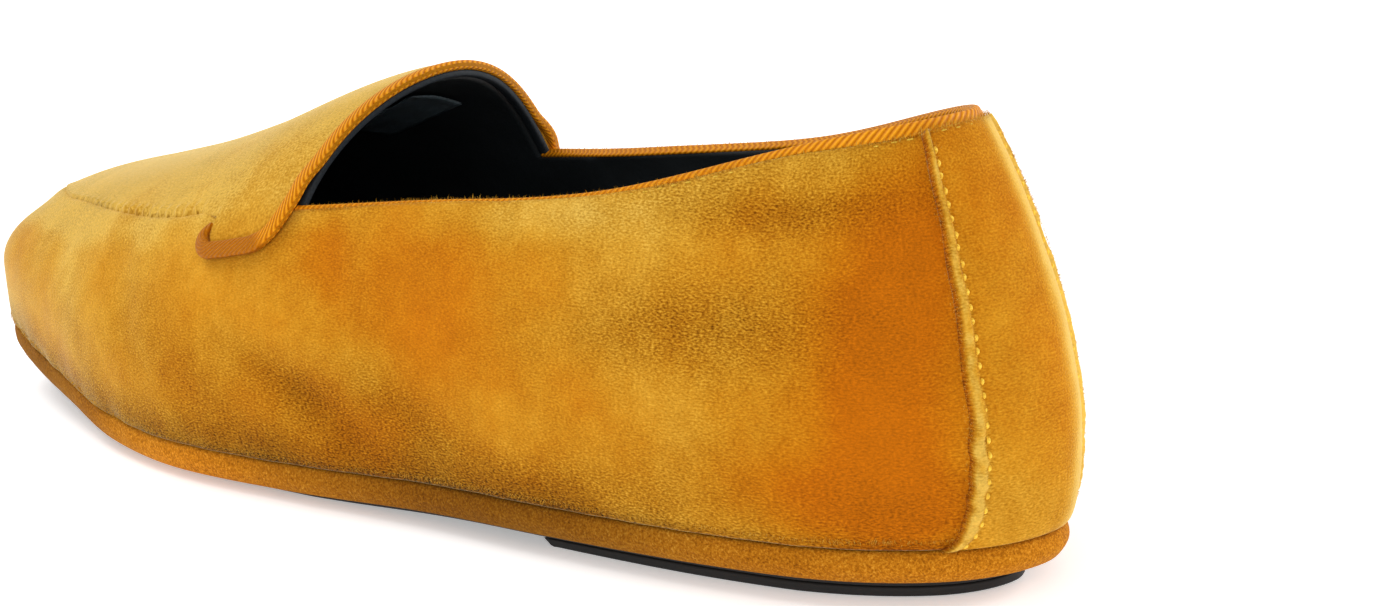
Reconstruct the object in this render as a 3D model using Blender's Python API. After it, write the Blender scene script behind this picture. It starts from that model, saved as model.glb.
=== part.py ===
"""A velvet slip-on loafer for the left foot, built on the surface of its last.

Metres. +X runs to the toe, +Y to the wearer's left, which is the outer side, and +Z up.
The shoe stands on the floor at Z = 0, with its box centred on the origin.
"""

import bmesh
import bpy
import numpy as np

# Driving dimensions of the last and of the opening
LENGTH = 0.258
BALL_WIDTH = 0.082
TOE_SPRING = 0.0083
INSTEP_HEIGHT = 0.0705
BACK_HEIGHT = 0.0765
THROAT_PLACE = 0.132
THROAT_LEAN = 0.0055
THROAT_REACH = 0.065
HEEL_PIVOT = 0.031
TOE_PIVOT = 0.222

# Thicknesses and edges
CLEARANCE = 0.0003
WALL = 0.0018
BAND_HEIGHT = 0.0057
BAND_OVERHANG = 0.0012
BAND_TUCK = 0.0016
BAND_HEEL_SHARE = 0.3
OUTSOLE_THICKNESS = 0.0018
OUTSOLE_INSET = 0.0055
TREAD_FLAT = 0.0003
LIFT_THICKNESS = 0.0016
LIFT_LENGTH = 0.081
LIFT_INSET = 0.0065
LIFT_BEVEL = 0.0025
INSOLE_THICKNESS = 0.0025
APRON_THICKNESS = 0.0008
TAB_REACH = 0.0234
TAB_DROP = 0.0109
BACKSTAY_THICKNESS = 0.0007
BACKSTAY_FOLD = 0.0005
BACKSTAY_FOLD_WIDTH = 0.0028
BACKSTAY_HALF_WIDTH = 0.0168
BINDING_WIDTH = 0.0025
BINDING_LAP = 0.0002
BINDING_SQUARENESS = 0.6
TAB_BINDING_THICKNESS = 0.0017

# Stations around the shoe and rows up its side
QUARTER_STATIONS = 16
VAMP_STATIONS = 24
SIDE_ROWS = 5
TAB_CORNER_ANGLE = 4.0
BINDING_CORNER_ANGLE = 2.0
SETTLE_FROM_ANGLE = 12.0
SETTLE_SPAN_ANGLE = 9.0
TUCK_ANGLES = (-75.0, -52.0, -26.0, 0.0)
VAMP_ROWS = 8
APRON_TAB_STATIONS = 18
APRON_SEAM_STATIONS = 14
APRON_ROWS = 9
APRON_EDGE_SHARE = 0.03
SOLE_STATIONS = 30
LIFT_FRONT_STEPS = 7
BACKSTAY_STEPS = 5
BACKSTAY_ROWS = 11
BINDING_SIDES = 8
TAB_BINDING_STATIONS = 22
ARCH_STATIONS = 16
COLUMN_STEP = 0.0001

# Steps for slopes on the surface: share of the half girth, and degrees
GIRTH_STEP = 0.001
ANGLE_STEP = 0.5

# Finishes: colour in linear RGB, roughness
FINISHES = {
    "velvet": ((0.60, 0.33, 0.05), 0.9),
    "twill": ((0.68, 0.27, 0.02), 0.5),
    "suede": ((0.50, 0.21, 0.02), 0.9),
    "rubber": ((0.012, 0.011, 0.010), 0.6),
    "lining": ((0.006, 0.008, 0.010), 0.5),
}

# Feather line: half widths to the outer and inner side, as shares of BALL_WIDTH
OUTLINE = np.array([
    # along, outer, inner
    (0.00, 0.000, 0.000),
    (0.03, 0.212, 0.160),
    (0.09, 0.332, 0.303),
    (0.17, 0.396, 0.366),
    (0.30, 0.440, 0.371),
    (0.42, 0.454, 0.350),
    (0.54, 0.491, 0.408),
    (0.64, 0.506, 0.481),
    (0.73, 0.468, 0.530),
    (0.82, 0.384, 0.518),
    (0.90, 0.299, 0.445),
    (0.96, 0.206, 0.323),
    (1.00, -0.076, 0.076),
])

# Height of the feather line over the ball: shares of the heel's rise and of TOE_SPRING
FEATHER = np.array([
    # along, heel, toe
    (0.00, 1.00, 0.00),
    (0.24, 1.00, 0.00),
    (0.36, 0.80, 0.00),
    (0.50, 0.20, 0.00),
    (0.60, 0.00, 0.00),
    (0.68, 0.00, 0.01),
    (0.74, 0.00, 0.12),
    (0.80, 0.00, 0.36),
    (0.90, 0.00, 0.70),
    (1.00, 0.00, 1.00),
])

# Sections of the last: ridge height over the floor and height of the widest line over the
# feather line, as shares of INSTEP_HEIGHT, bulge past the feather line and sideways place of
# the ridge, as shares of BALL_WIDTH, and the power that squares the section
SECTIONS = np.array([
    # along, ridge, widest, bulge, middle, power
    (0.00, 1.268, 0.224, 0.027, 0.000, 1.31),
    (0.15, 1.240, 0.210, 0.032, 0.000, 1.12),
    (0.30, 1.155, 0.196, 0.032, 0.014, 1.02),
    (0.42, 1.055, 0.186, 0.031, 0.030, 0.98),
    (0.52, 1.012, 0.176, 0.030, 0.010, 0.95),
    (0.65, 0.851, 0.165, 0.027, -0.040, 0.93),
    (0.75, 0.747, 0.159, 0.022, -0.061, 0.90),
    (0.85, 0.660, 0.159, 0.016, -0.079, 0.84),
    (0.93, 0.598, 0.159, 0.012, -0.079, 0.84),
    (1.00, 0.502, 0.155, 0.012, -0.079, 0.88),
])

# Top of the collar's binding, as shares of BACK_HEIGHT
COLLAR = np.array([
    # along, height
    (0.00, 1.000),
    (0.10, 0.935),
    (0.25, 0.804),
    (0.40, 0.738),
    (0.52, 0.690),
    (0.62, 0.655),
])

# Tab at each side of the apron, from the corner of the throat
TAB = np.array([
    # reach as a share of TAB_REACH, drop as a share of TAB_DROP
    (0.00, 0.00),
    (0.07, 0.25),
    (0.16, 0.54),
    (0.31, 0.76),
    (0.53, 0.88),
    (0.74, 0.97),
    (0.92, 1.00),
    (1.00, 0.86),
    (1.01, 0.60),
    (0.99, 0.36),
])

# Seam of the apron: share of the half girth, angle up the section
APRON_SEAM = np.array([
    # girth, angle
    (0.572, 39.6),
    (0.610, 40.2),
    (0.645, 42.4),
    (0.688, 45.2),
    (0.735, 49.0),
    (0.790, 52.8),
    (0.860, 56.8),
    (0.930, 58.7),
    (1.000, 59.5),
])

# Edge of the heel strip, from the feather line up to the collar
BACKSTAY_EDGE = np.array([
    # rise, spread as a share of BACKSTAY_HALF_WIDTH
    (0.00, 1.16),
    (0.20, 1.03),
    (0.45, 0.95),
    (0.75, 0.94),
    (1.00, 0.98),
])

# Folded edge of the heel strip, raised in the middle
FOLD = np.array([
    # distance from the edge as a share of BACKSTAY_FOLD_WIDTH, rise as a share of BACKSTAY_FOLD
    (1.10, 0.00),
    (0.50, 1.00),
    (0.00, 0.35),
])

# Side of the wrapped band
BAND_SIDE = np.array([
    # inset as a share of BAND_TUCK, share of the height from the bottom, share of the overhang
    (1.00, 0.00, 0.2),
    (0.55, 0.14, 0.5),
    (0.00, 0.42, 1.0),
    (0.00, 0.66, 1.0),
    (0.18, 0.88, 0.7),
    (0.60, 1.00, 0.2),
])

BALL_SEAT = OUTSOLE_THICKNESS - TREAD_FLAT + CLEARANCE + BAND_HEIGHT
HEEL_RISE = TREAD_FLAT + LIFT_THICKNESS + CLEARANCE
BINDING_SEAT = BINDING_WIDTH + CLEARANCE


def smooth(table, column, at):
    """A table's column at the given places, on a smooth curve through its rows."""
    place, value = table[:, 0], table[:, column]
    step = np.diff(place)
    slope = np.diff(value) / step
    rate = np.empty_like(value)
    rate[1:-1] = (slope[:-1] * step[1:] + slope[1:] * step[:-1]) / (step[:-1] + step[1:])
    rate[0] = 1.5 * slope[0] - 0.5 * rate[1]
    rate[-1] = 1.5 * slope[-1] - 0.5 * rate[-2]
    at = np.clip(at, place[0], place[-1])
    k = np.clip(np.searchsorted(place, at, side="right") - 1, 0, len(step) - 1)
    u = (at - place[k]) / step[k]
    start = (1 + 2 * u) * (1 - u) ** 2 * value[k] + u * (1 - u) ** 2 * step[k] * rate[k]
    end = u * u * (3 - 2 * u) * value[k + 1] + u * u * (u - 1) * step[k] * rate[k + 1]
    return start + end


def girth_of(x):
    """Share of the half girth, 0 at the heel and 1 at the toe, at a place along the shoe."""
    return np.arccos(np.clip(1 - 2 * x / LENGTH, -1, 1)) / np.pi


OUTLINE_BY_GIRTH = np.column_stack([girth_of(OUTLINE[:, 0] * LENGTH), OUTLINE[:, 1:]])


def feather_line(t):
    """Plan of the feather line: t runs from 0 at the heel to 1 (outer) or -1 (inner) at the toe."""
    girth = np.abs(t)
    x = LENGTH * (1 - np.cos(np.pi * girth)) / 2
    outer = smooth(OUTLINE_BY_GIRTH, 1, girth) * BALL_WIDTH
    inner = smooth(OUTLINE_BY_GIRTH, 2, girth) * BALL_WIDTH
    return x, np.where(t > 0, outer, -inner)


def feather_height(x):
    along = x / LENGTH
    return BALL_SEAT + smooth(FEATHER, 1, along) * HEEL_RISE + smooth(FEATHER, 2, along) * TOE_SPRING


def spine(x):
    """The line under the ridge, which every section is drawn from; it ends in two pivots."""
    held = np.clip(x, HEEL_PIVOT, TOE_PIVOT)
    return held, smooth(SECTIONS, 4, held / LENGTH) * BALL_WIDTH


def spoke(t):
    """Hub, direction and length of the line from the spine to the feather line at t."""
    x, y = feather_line(t)
    hub_x, hub_y = spine(x)
    reach = np.hypot(x - hub_x, y - hub_y)
    return hub_x, hub_y, (x - hub_x) / reach, (y - hub_y) / reach, reach


def section_point(t, angle):
    """A point of the last: angle is -90 at the feather line, 0 at the widest line, 90 on the ridge."""
    x, _ = feather_line(t)
    hub_x, hub_y, way_x, way_y, reach = spoke(t)
    along = x / LENGTH
    widest = smooth(SECTIONS, 2, along) * INSTEP_HEIGHT
    bulge = smooth(SECTIONS, 3, along) * BALL_WIDTH
    power = smooth(SECTIONS, 5, along)
    turn = np.radians(angle)
    cosine, sine = np.abs(np.cos(turn)), np.abs(np.sin(turn))
    cosine = np.where(np.asarray(angle) >= 90.0, 0.0, cosine)
    above = np.asarray(angle) >= 0
    out = np.where(above, (reach + bulge) * cosine**power, reach + bulge * cosine)
    base = feather_height(x) + widest
    ridge = smooth(SECTIONS, 1, (hub_x + way_x * out) / LENGTH) * INSTEP_HEIGHT
    height = np.where(above, base + (ridge - base) * sine**power, base - widest * sine)
    return np.stack([hub_x + way_x * out, hub_y + way_y * out, height], -1)


def angle_at_height(t, height):
    """The angle at which the section at t reaches a height."""
    low, high = np.full_like(t, -80.0), np.full_like(t, 89.0)
    for _ in range(30):
        middle = (low + high) / 2
        under = section_point(t, middle)[..., 2] < height
        low, high = np.where(under, middle, low), np.where(under, high, middle)
    return low


def collar_height(x):
    return smooth(COLLAR, 1, x / LENGTH) * BACK_HEIGHT


def collar_angle(t, drop):
    """The angle of a line that lies a drop under the collar's top edge, measured on the surface."""
    t = np.asarray(t, float)
    height = np.full_like(t, BACK_HEIGHT)
    for _ in range(12):
        angle = angle_at_height(t, height)
        point = section_point(t, angle)
        lower = section_point(t, angle - ANGLE_STEP)
        rise = (point - lower)[..., 2] / np.linalg.norm(point - lower, axis=-1)
        height = collar_height(point[..., 0]) - drop * rise
    return angle_at_height(t, height)


CORNER_T = float(girth_of(THROAT_PLACE))
CORNER_ANGLE = float(collar_angle(np.array([CORNER_T]), 0.0)[0])


def surface(t, angle):
    """A point of the upper: the section's point, moved along so that the throat leans back."""
    t, angle = np.broadcast_arrays(np.asarray(t, float), np.asarray(angle, float))
    x, _ = feather_line(t)
    climb = np.clip((angle - CORNER_ANGLE) / (90.0 - CORNER_ANGLE), 0, 1)
    near = np.clip(1 - np.abs(x - THROAT_PLACE) / THROAT_REACH, 0, 1) ** 2
    shift = THROAT_LEAN * np.sin(climb * np.pi / 2) ** 1.8 * near
    return section_point(np.sign(t) * girth_of(x - shift), angle)


def normal(t, angle):
    """Outward normal of the upper; level below the widest line, upright on the ridge."""
    t, angle = np.broadcast_arrays(np.asarray(t, float), np.asarray(angle, float))
    bend = np.clip(angle, 0.0, 88.0)
    inside = np.clip(t, GIRTH_STEP - 1, 1 - GIRTH_STEP)
    along = surface(inside + GIRTH_STEP, bend) - surface(inside - GIRTH_STEP, bend)
    up = surface(inside, bend + ANGLE_STEP) - surface(inside, bend - ANGLE_STEP)
    across = np.cross(along, up)
    across /= np.linalg.norm(across, axis=-1)[..., None]
    hub_x, _ = spine(feather_line(t)[0])
    step = 0.01
    ridge = smooth(SECTIONS, 1, hub_x / LENGTH + step) - smooth(SECTIONS, 1, hub_x / LENGTH - step)
    slope = ridge * INSTEP_HEIGHT / (2 * step * LENGTH)
    upright = np.stack([-slope, np.zeros_like(slope), np.ones_like(slope)], -1)
    upright /= np.linalg.norm(upright, axis=-1)[..., None]
    middle = across * np.sign(np.sum(across * outward(t, bend), -1))[..., None]
    return np.where((angle >= 89.5)[..., None], upright, middle)


def outward(t, angle):
    """A rough outward way, level at the sides and upright near the ridge."""
    _, _, way_x, way_y, _ = spoke(t)
    rise = np.sin(np.radians(angle))
    level = np.cos(np.radians(angle))
    return np.stack([way_x * level, way_y * level, rise], -1)


def offset(t, angle, distance):
    return surface(t, angle) + normal(t, angle) * np.asarray(distance)[..., None]


def shift_chart(t, angle, aside):
    """Moves a path of (t, angle) sideways on the surface, to the right of its own direction."""
    point = surface(t, angle)
    way = np.gradient(point, axis=0)
    way /= np.linalg.norm(way, axis=-1)[:, None]
    right = np.cross(way, normal(t, angle))
    by_t = (surface(t + GIRTH_STEP, angle) - surface(t - GIRTH_STEP, angle)) / (2 * GIRTH_STEP)
    by_angle = (surface(t, angle + ANGLE_STEP) - surface(t, angle - ANGLE_STEP)) / (2 * ANGLE_STEP)
    a, b, c = (np.sum(p * q, -1) for p, q in ((by_t, by_t), (by_t, by_angle), (by_angle, by_angle)))
    wish = right * np.asarray(aside).reshape(-1, 1)
    first, second = np.sum(by_t * wish, -1), np.sum(by_angle * wish, -1)
    area = a * c - b * b
    return t + (c * first - b * second) / area, angle + (a * second - b * first) / area


def solid(name, points, faces, paint):
    """One closed mesh object from points and faces, with its coinciding points merged."""
    mesh = bpy.data.meshes.new(name)
    shape = bmesh.new()
    corners = [shape.verts.new(tuple(float(value) for value in point)) for point in points]
    for face in faces:
        shape.faces.new([corners[index] for index in face])
    bmesh.ops.remove_doubles(shape, verts=shape.verts, dist=1e-6)
    bmesh.ops.recalc_face_normals(shape, faces=shape.faces)
    bmesh.ops.triangulate(shape, faces=shape.faces)
    shape.to_mesh(mesh)
    shape.free()
    mesh.shade_smooth()
    mesh.set_sharp_from_angle(angle=np.radians(40.0))
    piece = bpy.data.objects.new(name, mesh)
    bpy.context.scene.collection.objects.link(piece)
    mesh.materials.append(paint)
    return piece


def grid_faces(rows, columns, start=0, closed=False):
    """Faces between neighbouring points of a grid of rows by columns."""
    last = columns if closed else columns - 1
    faces = []
    for row in range(rows - 1):
        for column in range(last):
            beside = (column + 1) % columns
            a, b = start + row * columns + column, start + row * columns + beside
            faces.append((a, b, b + columns, a + columns))
    return faces


def stacked_rings(name, rings, paint):
    """A solid from closed rings that starts and ends on the spine."""
    points = np.concatenate(rings)
    return solid(name, points, grid_faces(len(rings), len(rings[0]), closed=True), paint)


def sole_stations():
    half = np.linspace(0, 1, SOLE_STATIONS + 1)
    return np.concatenate([half, -half[-2:0:-1]])


def sole_ring(inset, height, share=1.0):
    """A ring at an inset from the feather line; share 0 is the spine and 1 the full reach."""
    hub_x, hub_y, way_x, way_y, reach = spoke(sole_stations())
    out = (reach - inset) * share
    x, y = hub_x + way_x * out, hub_y + way_y * out
    return np.stack([x, y, height(x)], -1)


def band_bottom(x):
    return feather_height(x) - BAND_HEIGHT


def outsole_bottom(x):
    return np.maximum(band_bottom(x) - CLEARANCE - OUTSOLE_THICKNESS, 0.0)


def midsole(paint):
    """The wrapped band under the feather line: a rounded side, fuller round the heel."""
    stations = sole_stations()
    fuller = BAND_OVERHANG * np.clip(1 - np.abs(stations) / BAND_HEEL_SHARE, 0.0, 1.0)
    rings = [sole_ring(0.0, band_bottom, share) for share in (0.0, 0.5)]
    for inset, rise, swell in BAND_SIDE:
        def level(x, rise=rise):
            return band_bottom(x) + rise * BAND_HEIGHT

        rings.append(sole_ring(inset * BAND_TUCK - fuller * swell, level))
    rings += [sole_ring(0.0, feather_height, share) for share in (0.5, 0.0)]
    return stacked_rings("midsole", rings, paint)


def outsole(paint):
    """Thin rubber sole, set in from the band and pressed flat under the ball."""
    edge = OUTSOLE_THICKNESS * 0.5
    rings = [sole_ring(OUTSOLE_INSET + edge, outsole_bottom, share) for share in (0.0, 0.5, 1.0)]
    rings.append(sole_ring(OUTSOLE_INSET, lambda x: (outsole_bottom(x) + outsole_top(x)) / 2))
    rings += [sole_ring(OUTSOLE_INSET, outsole_top, share) for share in (1.0, 0.5, 0.0)]
    return stacked_rings("outsole", rings, paint)


def outsole_top(x):
    return band_bottom(x) - CLEARANCE


def heel_lift(paint):
    """Low rubber lift under the heel, with a sloped front."""
    girth = np.linspace(-float(girth_of(LIFT_LENGTH)), float(girth_of(LIFT_LENGTH)), SOLE_STATIONS)
    hub_x, hub_y, way_x, way_y, reach = spoke(girth)
    middle = np.array([LIFT_LENGTH * 0.5, 0.0])
    rings = []
    for inset, bevel, rise in ((LIFT_INSET, LIFT_BEVEL, 0.0), (LIFT_INSET - CLEARANCE, 0.0, 1.0)):
        edge = np.stack([hub_x + way_x * (reach - inset), hub_y + way_y * (reach - inset)], -1)
        edge[:, 0] = np.minimum(edge[:, 0], LIFT_LENGTH - bevel)
        across = np.linspace(0, 1, LIFT_FRONT_STEPS + 1)[1:-1, None]
        front = edge[-1] + (edge[0] - edge[-1]) * across
        plan = np.concatenate([edge, front])
        height = np.full(len(plan), 0.0) if rise == 0.0 else outsole_bottom(plan[:, 0]) - CLEARANCE
        ring = np.column_stack([plan, height])
        hub_height = 0.0 if rise == 0.0 else float(outsole_bottom(middle[0])) - CLEARANCE
        hub = np.tile([middle[0], middle[1], hub_height], (len(plan), 1))
        rings.append((hub, ring))
    return stacked_rings("heel_lift", [rings[0][0], rings[0][1], rings[1][1], rings[1][0]], paint)


def insole(paint):
    """Padded sock on the midsole, inside the upper's wall."""
    inset = WALL + 2 * CLEARANCE

    def bottom(x):
        return feather_height(x) + CLEARANCE

    def top(x):
        return bottom(x) + INSOLE_THICKNESS

    rings = [sole_ring(inset, bottom, share) for share in (0.0, 0.5, 1.0)]
    rings += [sole_ring(inset, top, share) for share in (1.0, 0.5, 0.0)]
    return stacked_rings("insole", rings, paint)


def upper_layer(depth):
    """Points of one face of the upper: all stations' side rows, then the vamp's rows to the ridge."""
    rim_t = float(girth_of(THROAT_PLACE + BINDING_SEAT))
    quarter = np.linspace(0, rim_t, QUARTER_STATIONS + 1)
    vamp = np.linspace(rim_t, 1, VAMP_STATIONS + 1)[1:]
    half = np.concatenate([quarter, vamp])
    stations = np.concatenate([half, -half[-2:0:-1]])
    rim = collar_angle(stations, BINDING_SEAT)
    corner = float(collar_angle(np.array([rim_t]), BINDING_SEAT)[0])
    rim = np.where(np.abs(stations) >= rim_t, corner, rim)
    side = [surface_row(stations, np.full_like(rim, angle), depth) for angle in TUCK_ANGLES]
    side += [surface_row(stations, rim * share, depth) for share in np.linspace(0, 1, SIDE_ROWS + 1)[1:]]
    crown = stations[QUARTER_STATIONS:QUARTER_STATIONS + 2 * VAMP_STATIONS + 1]
    top = [surface_row(crown, np.full_like(crown, angle), depth)
           for angle in np.linspace(corner, 90, VAMP_ROWS + 1)[1:]]
    return side, top


def surface_row(t, angle, depth):
    return offset(t, angle, np.full(t.shape, -depth))


def upper(paint):
    """Vamp and quarters: one wall, open at the collar and the throat, and underneath."""
    points, faces, layers = [], [], []
    for depth in (0.0, WALL):
        side, top = upper_layer(depth)
        start = sum(len(row) for row in points)
        around, crown = len(side[0]), len(top[0])
        faces += grid_faces(len(side), around, start, closed=True)
        last_side = start + (len(side) - 1) * around
        first_top = start + len(side) * around
        join = [last_side + QUARTER_STATIONS + k for k in range(crown)]
        rows = [join] + [[first_top + row * crown + k for k in range(crown)] for row in range(len(top))]
        for lower, higher in zip(rows, rows[1:]):
            faces += [(lower[k], lower[k + 1], higher[k + 1], higher[k]) for k in range(crown - 1)]
        collar = [last_side + k % around for k in range(QUARTER_STATIONS + 2 * VAMP_STATIONS,
                                                        around + QUARTER_STATIONS + 1)]
        throat = [row[-1] for row in rows[::-1]] + collar[1:-1] + [row[0] for row in rows]
        foot = [start + k for k in range(around)]
        layers.append((throat, foot + foot[:1]))
        points += side + top
    for outer, inner in zip(layers[0], layers[1]):
        faces += [(outer[k], outer[k + 1], inner[k + 1], inner[k]) for k in range(len(outer) - 1)]
    return solid("upper", np.concatenate(points), faces, paint)


def overlay(name, bottom, top, paint, folded=False):
    """A sheet from two grids of points, one over the other, closed round its edge.

    A folded sheet has its last row on the ridge, where its two halves join.
    """
    rows, columns = bottom.shape[:2]
    size = rows * columns
    faces = grid_faces(rows, columns) + grid_faces(rows, columns, size)
    edge = [(row, 0) for row in range(rows - 1, 0, -1)] + [(0, k) for k in range(columns)]
    edge += [(row, columns - 1) for row in range(1, rows)]
    if not folded:
        edge += [(rows - 1, k) for k in range(columns - 2, -1, -1)]
    ring = [row * columns + column for row, column in edge]
    for here, beside in zip(ring, ring[1:]):
        faces.append((here, beside, beside + size, here + size))
    points = np.concatenate([bottom.reshape(-1, 3), top.reshape(-1, 3)])
    return solid(name, points, faces, paint)


def tab_outline():
    """The tab's outer edge on the outer side, from the corner of the throat to the seam."""
    x = THROAT_PLACE + TAB[:, 0] * TAB_REACH
    t = girth_of(x)
    height = float(collar_height(THROAT_PLACE)) - TAB[:, 1] * TAB_DROP
    return t, angle_at_height(t, height)


def resample(t, angle, count):
    """The path again, with points evenly spaced along the surface."""
    point = surface(t, angle)
    run = np.concatenate([[0.0], np.cumsum(np.linalg.norm(np.diff(point, axis=0), axis=1))])
    at = np.linspace(0, run[-1], count)
    return smooth(np.column_stack([run, t]), 1, at), smooth(np.column_stack([run, angle]), 1, at)


def never_back(t):
    """Stations of a path again, each a little before the next, so that no two columns cross."""
    steps = COLUMN_STEP * np.arange(len(t))
    return np.minimum.accumulate((t - steps)[::-1])[::-1] + steps


def apron(paint):
    """Plug of the moccasin seam, with a tab at each side of the throat."""
    tab_t, tab_angle = resample(*tab_outline(), APRON_TAB_STATIONS)
    tab_t, tab_angle = shift_chart(tab_t, tab_angle, np.full(len(tab_t), BINDING_SEAT + 2 * CLEARANCE))
    rim_t = float(girth_of(THROAT_PLACE + BINDING_SEAT))
    keep = (tab_angle < CORNER_ANGLE) & (tab_angle < APRON_SEAM[0, 1])
    tab_t, tab_angle = never_back(tab_t[keep]), tab_angle[keep]
    seam_t = np.linspace(APRON_SEAM[0, 0], 1, APRON_SEAM_STATIONS)
    seam_angle = smooth(APRON_SEAM, 1, seam_t)
    t = np.concatenate([[rim_t], tab_t, seam_t])
    angle = np.concatenate([[CORNER_ANGLE + TAB_CORNER_ANGLE], tab_angle, seam_angle])
    t, angle = np.concatenate([t, -t[-2::-1]]), np.concatenate([angle, angle[-2::-1]])
    shares = np.concatenate([[0.0, APRON_EDGE_SHARE], np.linspace(0.0, 1.0, APRON_ROWS)[1:]])
    ridge_t = np.maximum(np.abs(t), rim_t)
    rows_t = np.sign(t) * (np.abs(t) + (ridge_t - np.abs(t)) * shares[:, None])
    rows_angle = angle + (90.0 - angle) * shares[:, None]
    low = np.full(rows_t.shape, CLEARANCE)
    high = low + APRON_THICKNESS
    high[0] = CLEARANCE + APRON_THICKNESS * 0.5
    bottom, top = (offset(rows_t, rows_angle, height) for height in (low, high))
    return overlay("apron", bottom, top, paint, folded=True)


def girth_at_distance(distance):
    """Share of the half girth at a distance from the heel, measured along the feather line."""
    t = np.linspace(0, 0.3, 61)
    x, y = feather_line(t)
    run = np.concatenate([[0.0], np.cumsum(np.hypot(np.diff(x), np.diff(y)))])
    return np.interp(distance, run, t)


def backstay(paint):
    """Strip up the back of the heel, with a folded edge that stands a little proud."""
    rise = np.linspace(0, 1, BACKSTAY_ROWS)
    spread = girth_at_distance(BACKSTAY_HALF_WIDTH * smooth(BACKSTAY_EDGE, 1, rise))
    fold = spread[:, None] - girth_at_distance(BACKSTAY_FOLD_WIDTH) * FOLD[None, :, 0]
    flat = np.linspace(0, 1, BACKSTAY_STEPS + 1)[None, :-1] * fold[:, :1]
    half = np.concatenate([flat, fold], axis=1)
    t = np.concatenate([-half[:, :0:-1], half], axis=1)
    top = collar_angle(t[-1], BINDING_SEAT)
    angle = TUCK_ANGLES[0] + (top - TUCK_ANGLES[0]) * rise[:, None]
    raised = np.concatenate([np.zeros(BACKSTAY_STEPS), FOLD[:, 1]])
    raised = np.concatenate([raised[:0:-1], raised])
    low = np.full(t.shape, CLEARANCE)
    high = low + BACKSTAY_THICKNESS + BACKSTAY_FOLD * raised[None]
    return overlay("backstay", offset(t, angle, low), offset(t, angle, high), paint)


def bar(name, t, angle, centre, thickness, width, paint):
    """A rounded strip along a path of the surface: centre is its height over the surface."""
    middle = offset(t, angle, centre)
    way = np.gradient(middle, axis=0)
    way /= np.linalg.norm(way, axis=1)[:, None]
    out = normal(t, angle)
    aside = np.cross(out, way)
    aside /= np.linalg.norm(aside, axis=1)[:, None]
    out = np.cross(way, aside)
    turns = (np.arange(BINDING_SIDES) + 0.5) * 2 * np.pi / BINDING_SIDES
    flat = np.sign(np.cos(turns)) * np.abs(np.cos(turns)) ** BINDING_SQUARENESS
    tall = np.sign(np.sin(turns)) * np.abs(np.sin(turns)) ** BINDING_SQUARENESS
    rings = [m + a * width / 2 * flat[:, None] + o * h / 2 * tall[:, None]
             for m, a, o, h in zip(middle, aside, out, np.broadcast_to(thickness, t.shape))]
    points = np.concatenate(rings)
    faces = grid_faces(len(rings), BINDING_SIDES, closed=True)
    faces.append(tuple(range(BINDING_SIDES)))
    faces.append(tuple(range(len(points) - BINDING_SIDES, len(points))))
    return solid(name, points, faces, paint)


def collar_binding(paint):
    """Twill strip over the quarters' top edge; its ends run on under the throat's strip."""
    end = float(girth_of(THROAT_PLACE + BINDING_WIDTH - 2 * CLEARANCE))
    t = np.linspace(-end, end, 4 * QUARTER_STATIONS + 1)
    angle = collar_angle(t, BINDING_WIDTH / 2)
    thickness = WALL + 2 * BINDING_LAP
    return bar("collar_binding", t, angle, np.full(t.shape, -WALL / 2), thickness, BINDING_WIDTH, paint)


def throat_binding(paint):
    """Twill strip round the throat and on round both tabs to the seam."""
    tab_t, tab_angle = resample(*tab_outline(), TAB_BINDING_STATIONS)
    tab_t, tab_angle = shift_chart(tab_t, tab_angle, np.full(len(tab_t), BINDING_WIDTH / 2))
    throat_t = float(girth_of(THROAT_PLACE + BINDING_WIDTH / 2))
    rise = np.linspace(90.0, CORNER_ANGLE + BINDING_CORNER_ANGLE, ARCH_STATIONS)
    keep = tab_angle < CORNER_ANGLE - BINDING_CORNER_ANGLE
    t = np.concatenate([np.full(rise.shape, throat_t), tab_t[keep]])
    angle = np.concatenate([rise, tab_angle[keep]])
    stack = WALL + CLEARANCE + APRON_THICKNESS
    settle = np.clip((CORNER_ANGLE + SETTLE_FROM_ANGLE - angle) / SETTLE_SPAN_ANGLE, 0, 1)
    settle[len(rise):] = 1.0
    settle = settle * settle * (3 - 2 * settle)
    on_rim, on_tab = (CLEARANCE + APRON_THICKNESS - WALL) / 2, 2 * CLEARANCE + TAB_BINDING_THICKNESS / 2
    centre = on_rim + (on_tab - on_rim) * settle
    thickness = stack + 2 * BINDING_LAP + (TAB_BINDING_THICKNESS - stack - 2 * BINDING_LAP) * settle
    t = np.concatenate([-t[::-1], t[1:]])
    angle, centre, thickness = (np.concatenate([half[::-1], half[1:]]) for half in (angle, centre, thickness))
    return bar("throat_binding", t, angle, centre, thickness, BINDING_WIDTH, paint)


def paint(name):
    """A plain finish from the table."""
    colour, roughness = FINISHES[name]
    finish = bpy.data.materials.new(name)
    finish.use_nodes = True
    shader = finish.node_tree.nodes["Principled BSDF"]
    shader.inputs["Base Color"].default_value = (*colour, 1.0)
    shader.inputs["Roughness"].default_value = roughness
    shader.inputs["Metallic"].default_value = 0.0
    return finish


def clear_scene():
    for thing in list(bpy.data.objects):
        bpy.data.objects.remove(thing, do_unlink=True)


def stand(pieces):
    """Parents the pieces to one empty, placed so that the shoe's box is centred on the origin."""
    corners = np.array([vertex.co[:] for piece in pieces for vertex in piece.data.vertices])
    middle = (corners.min(axis=0) + corners.max(axis=0)) / 2
    shoe = bpy.data.objects.new("loafer", None)
    bpy.context.scene.collection.objects.link(shoe)
    for piece in pieces:
        piece.parent = shoe
    shoe.location = (-middle[0], -middle[1], 0.0)


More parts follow.
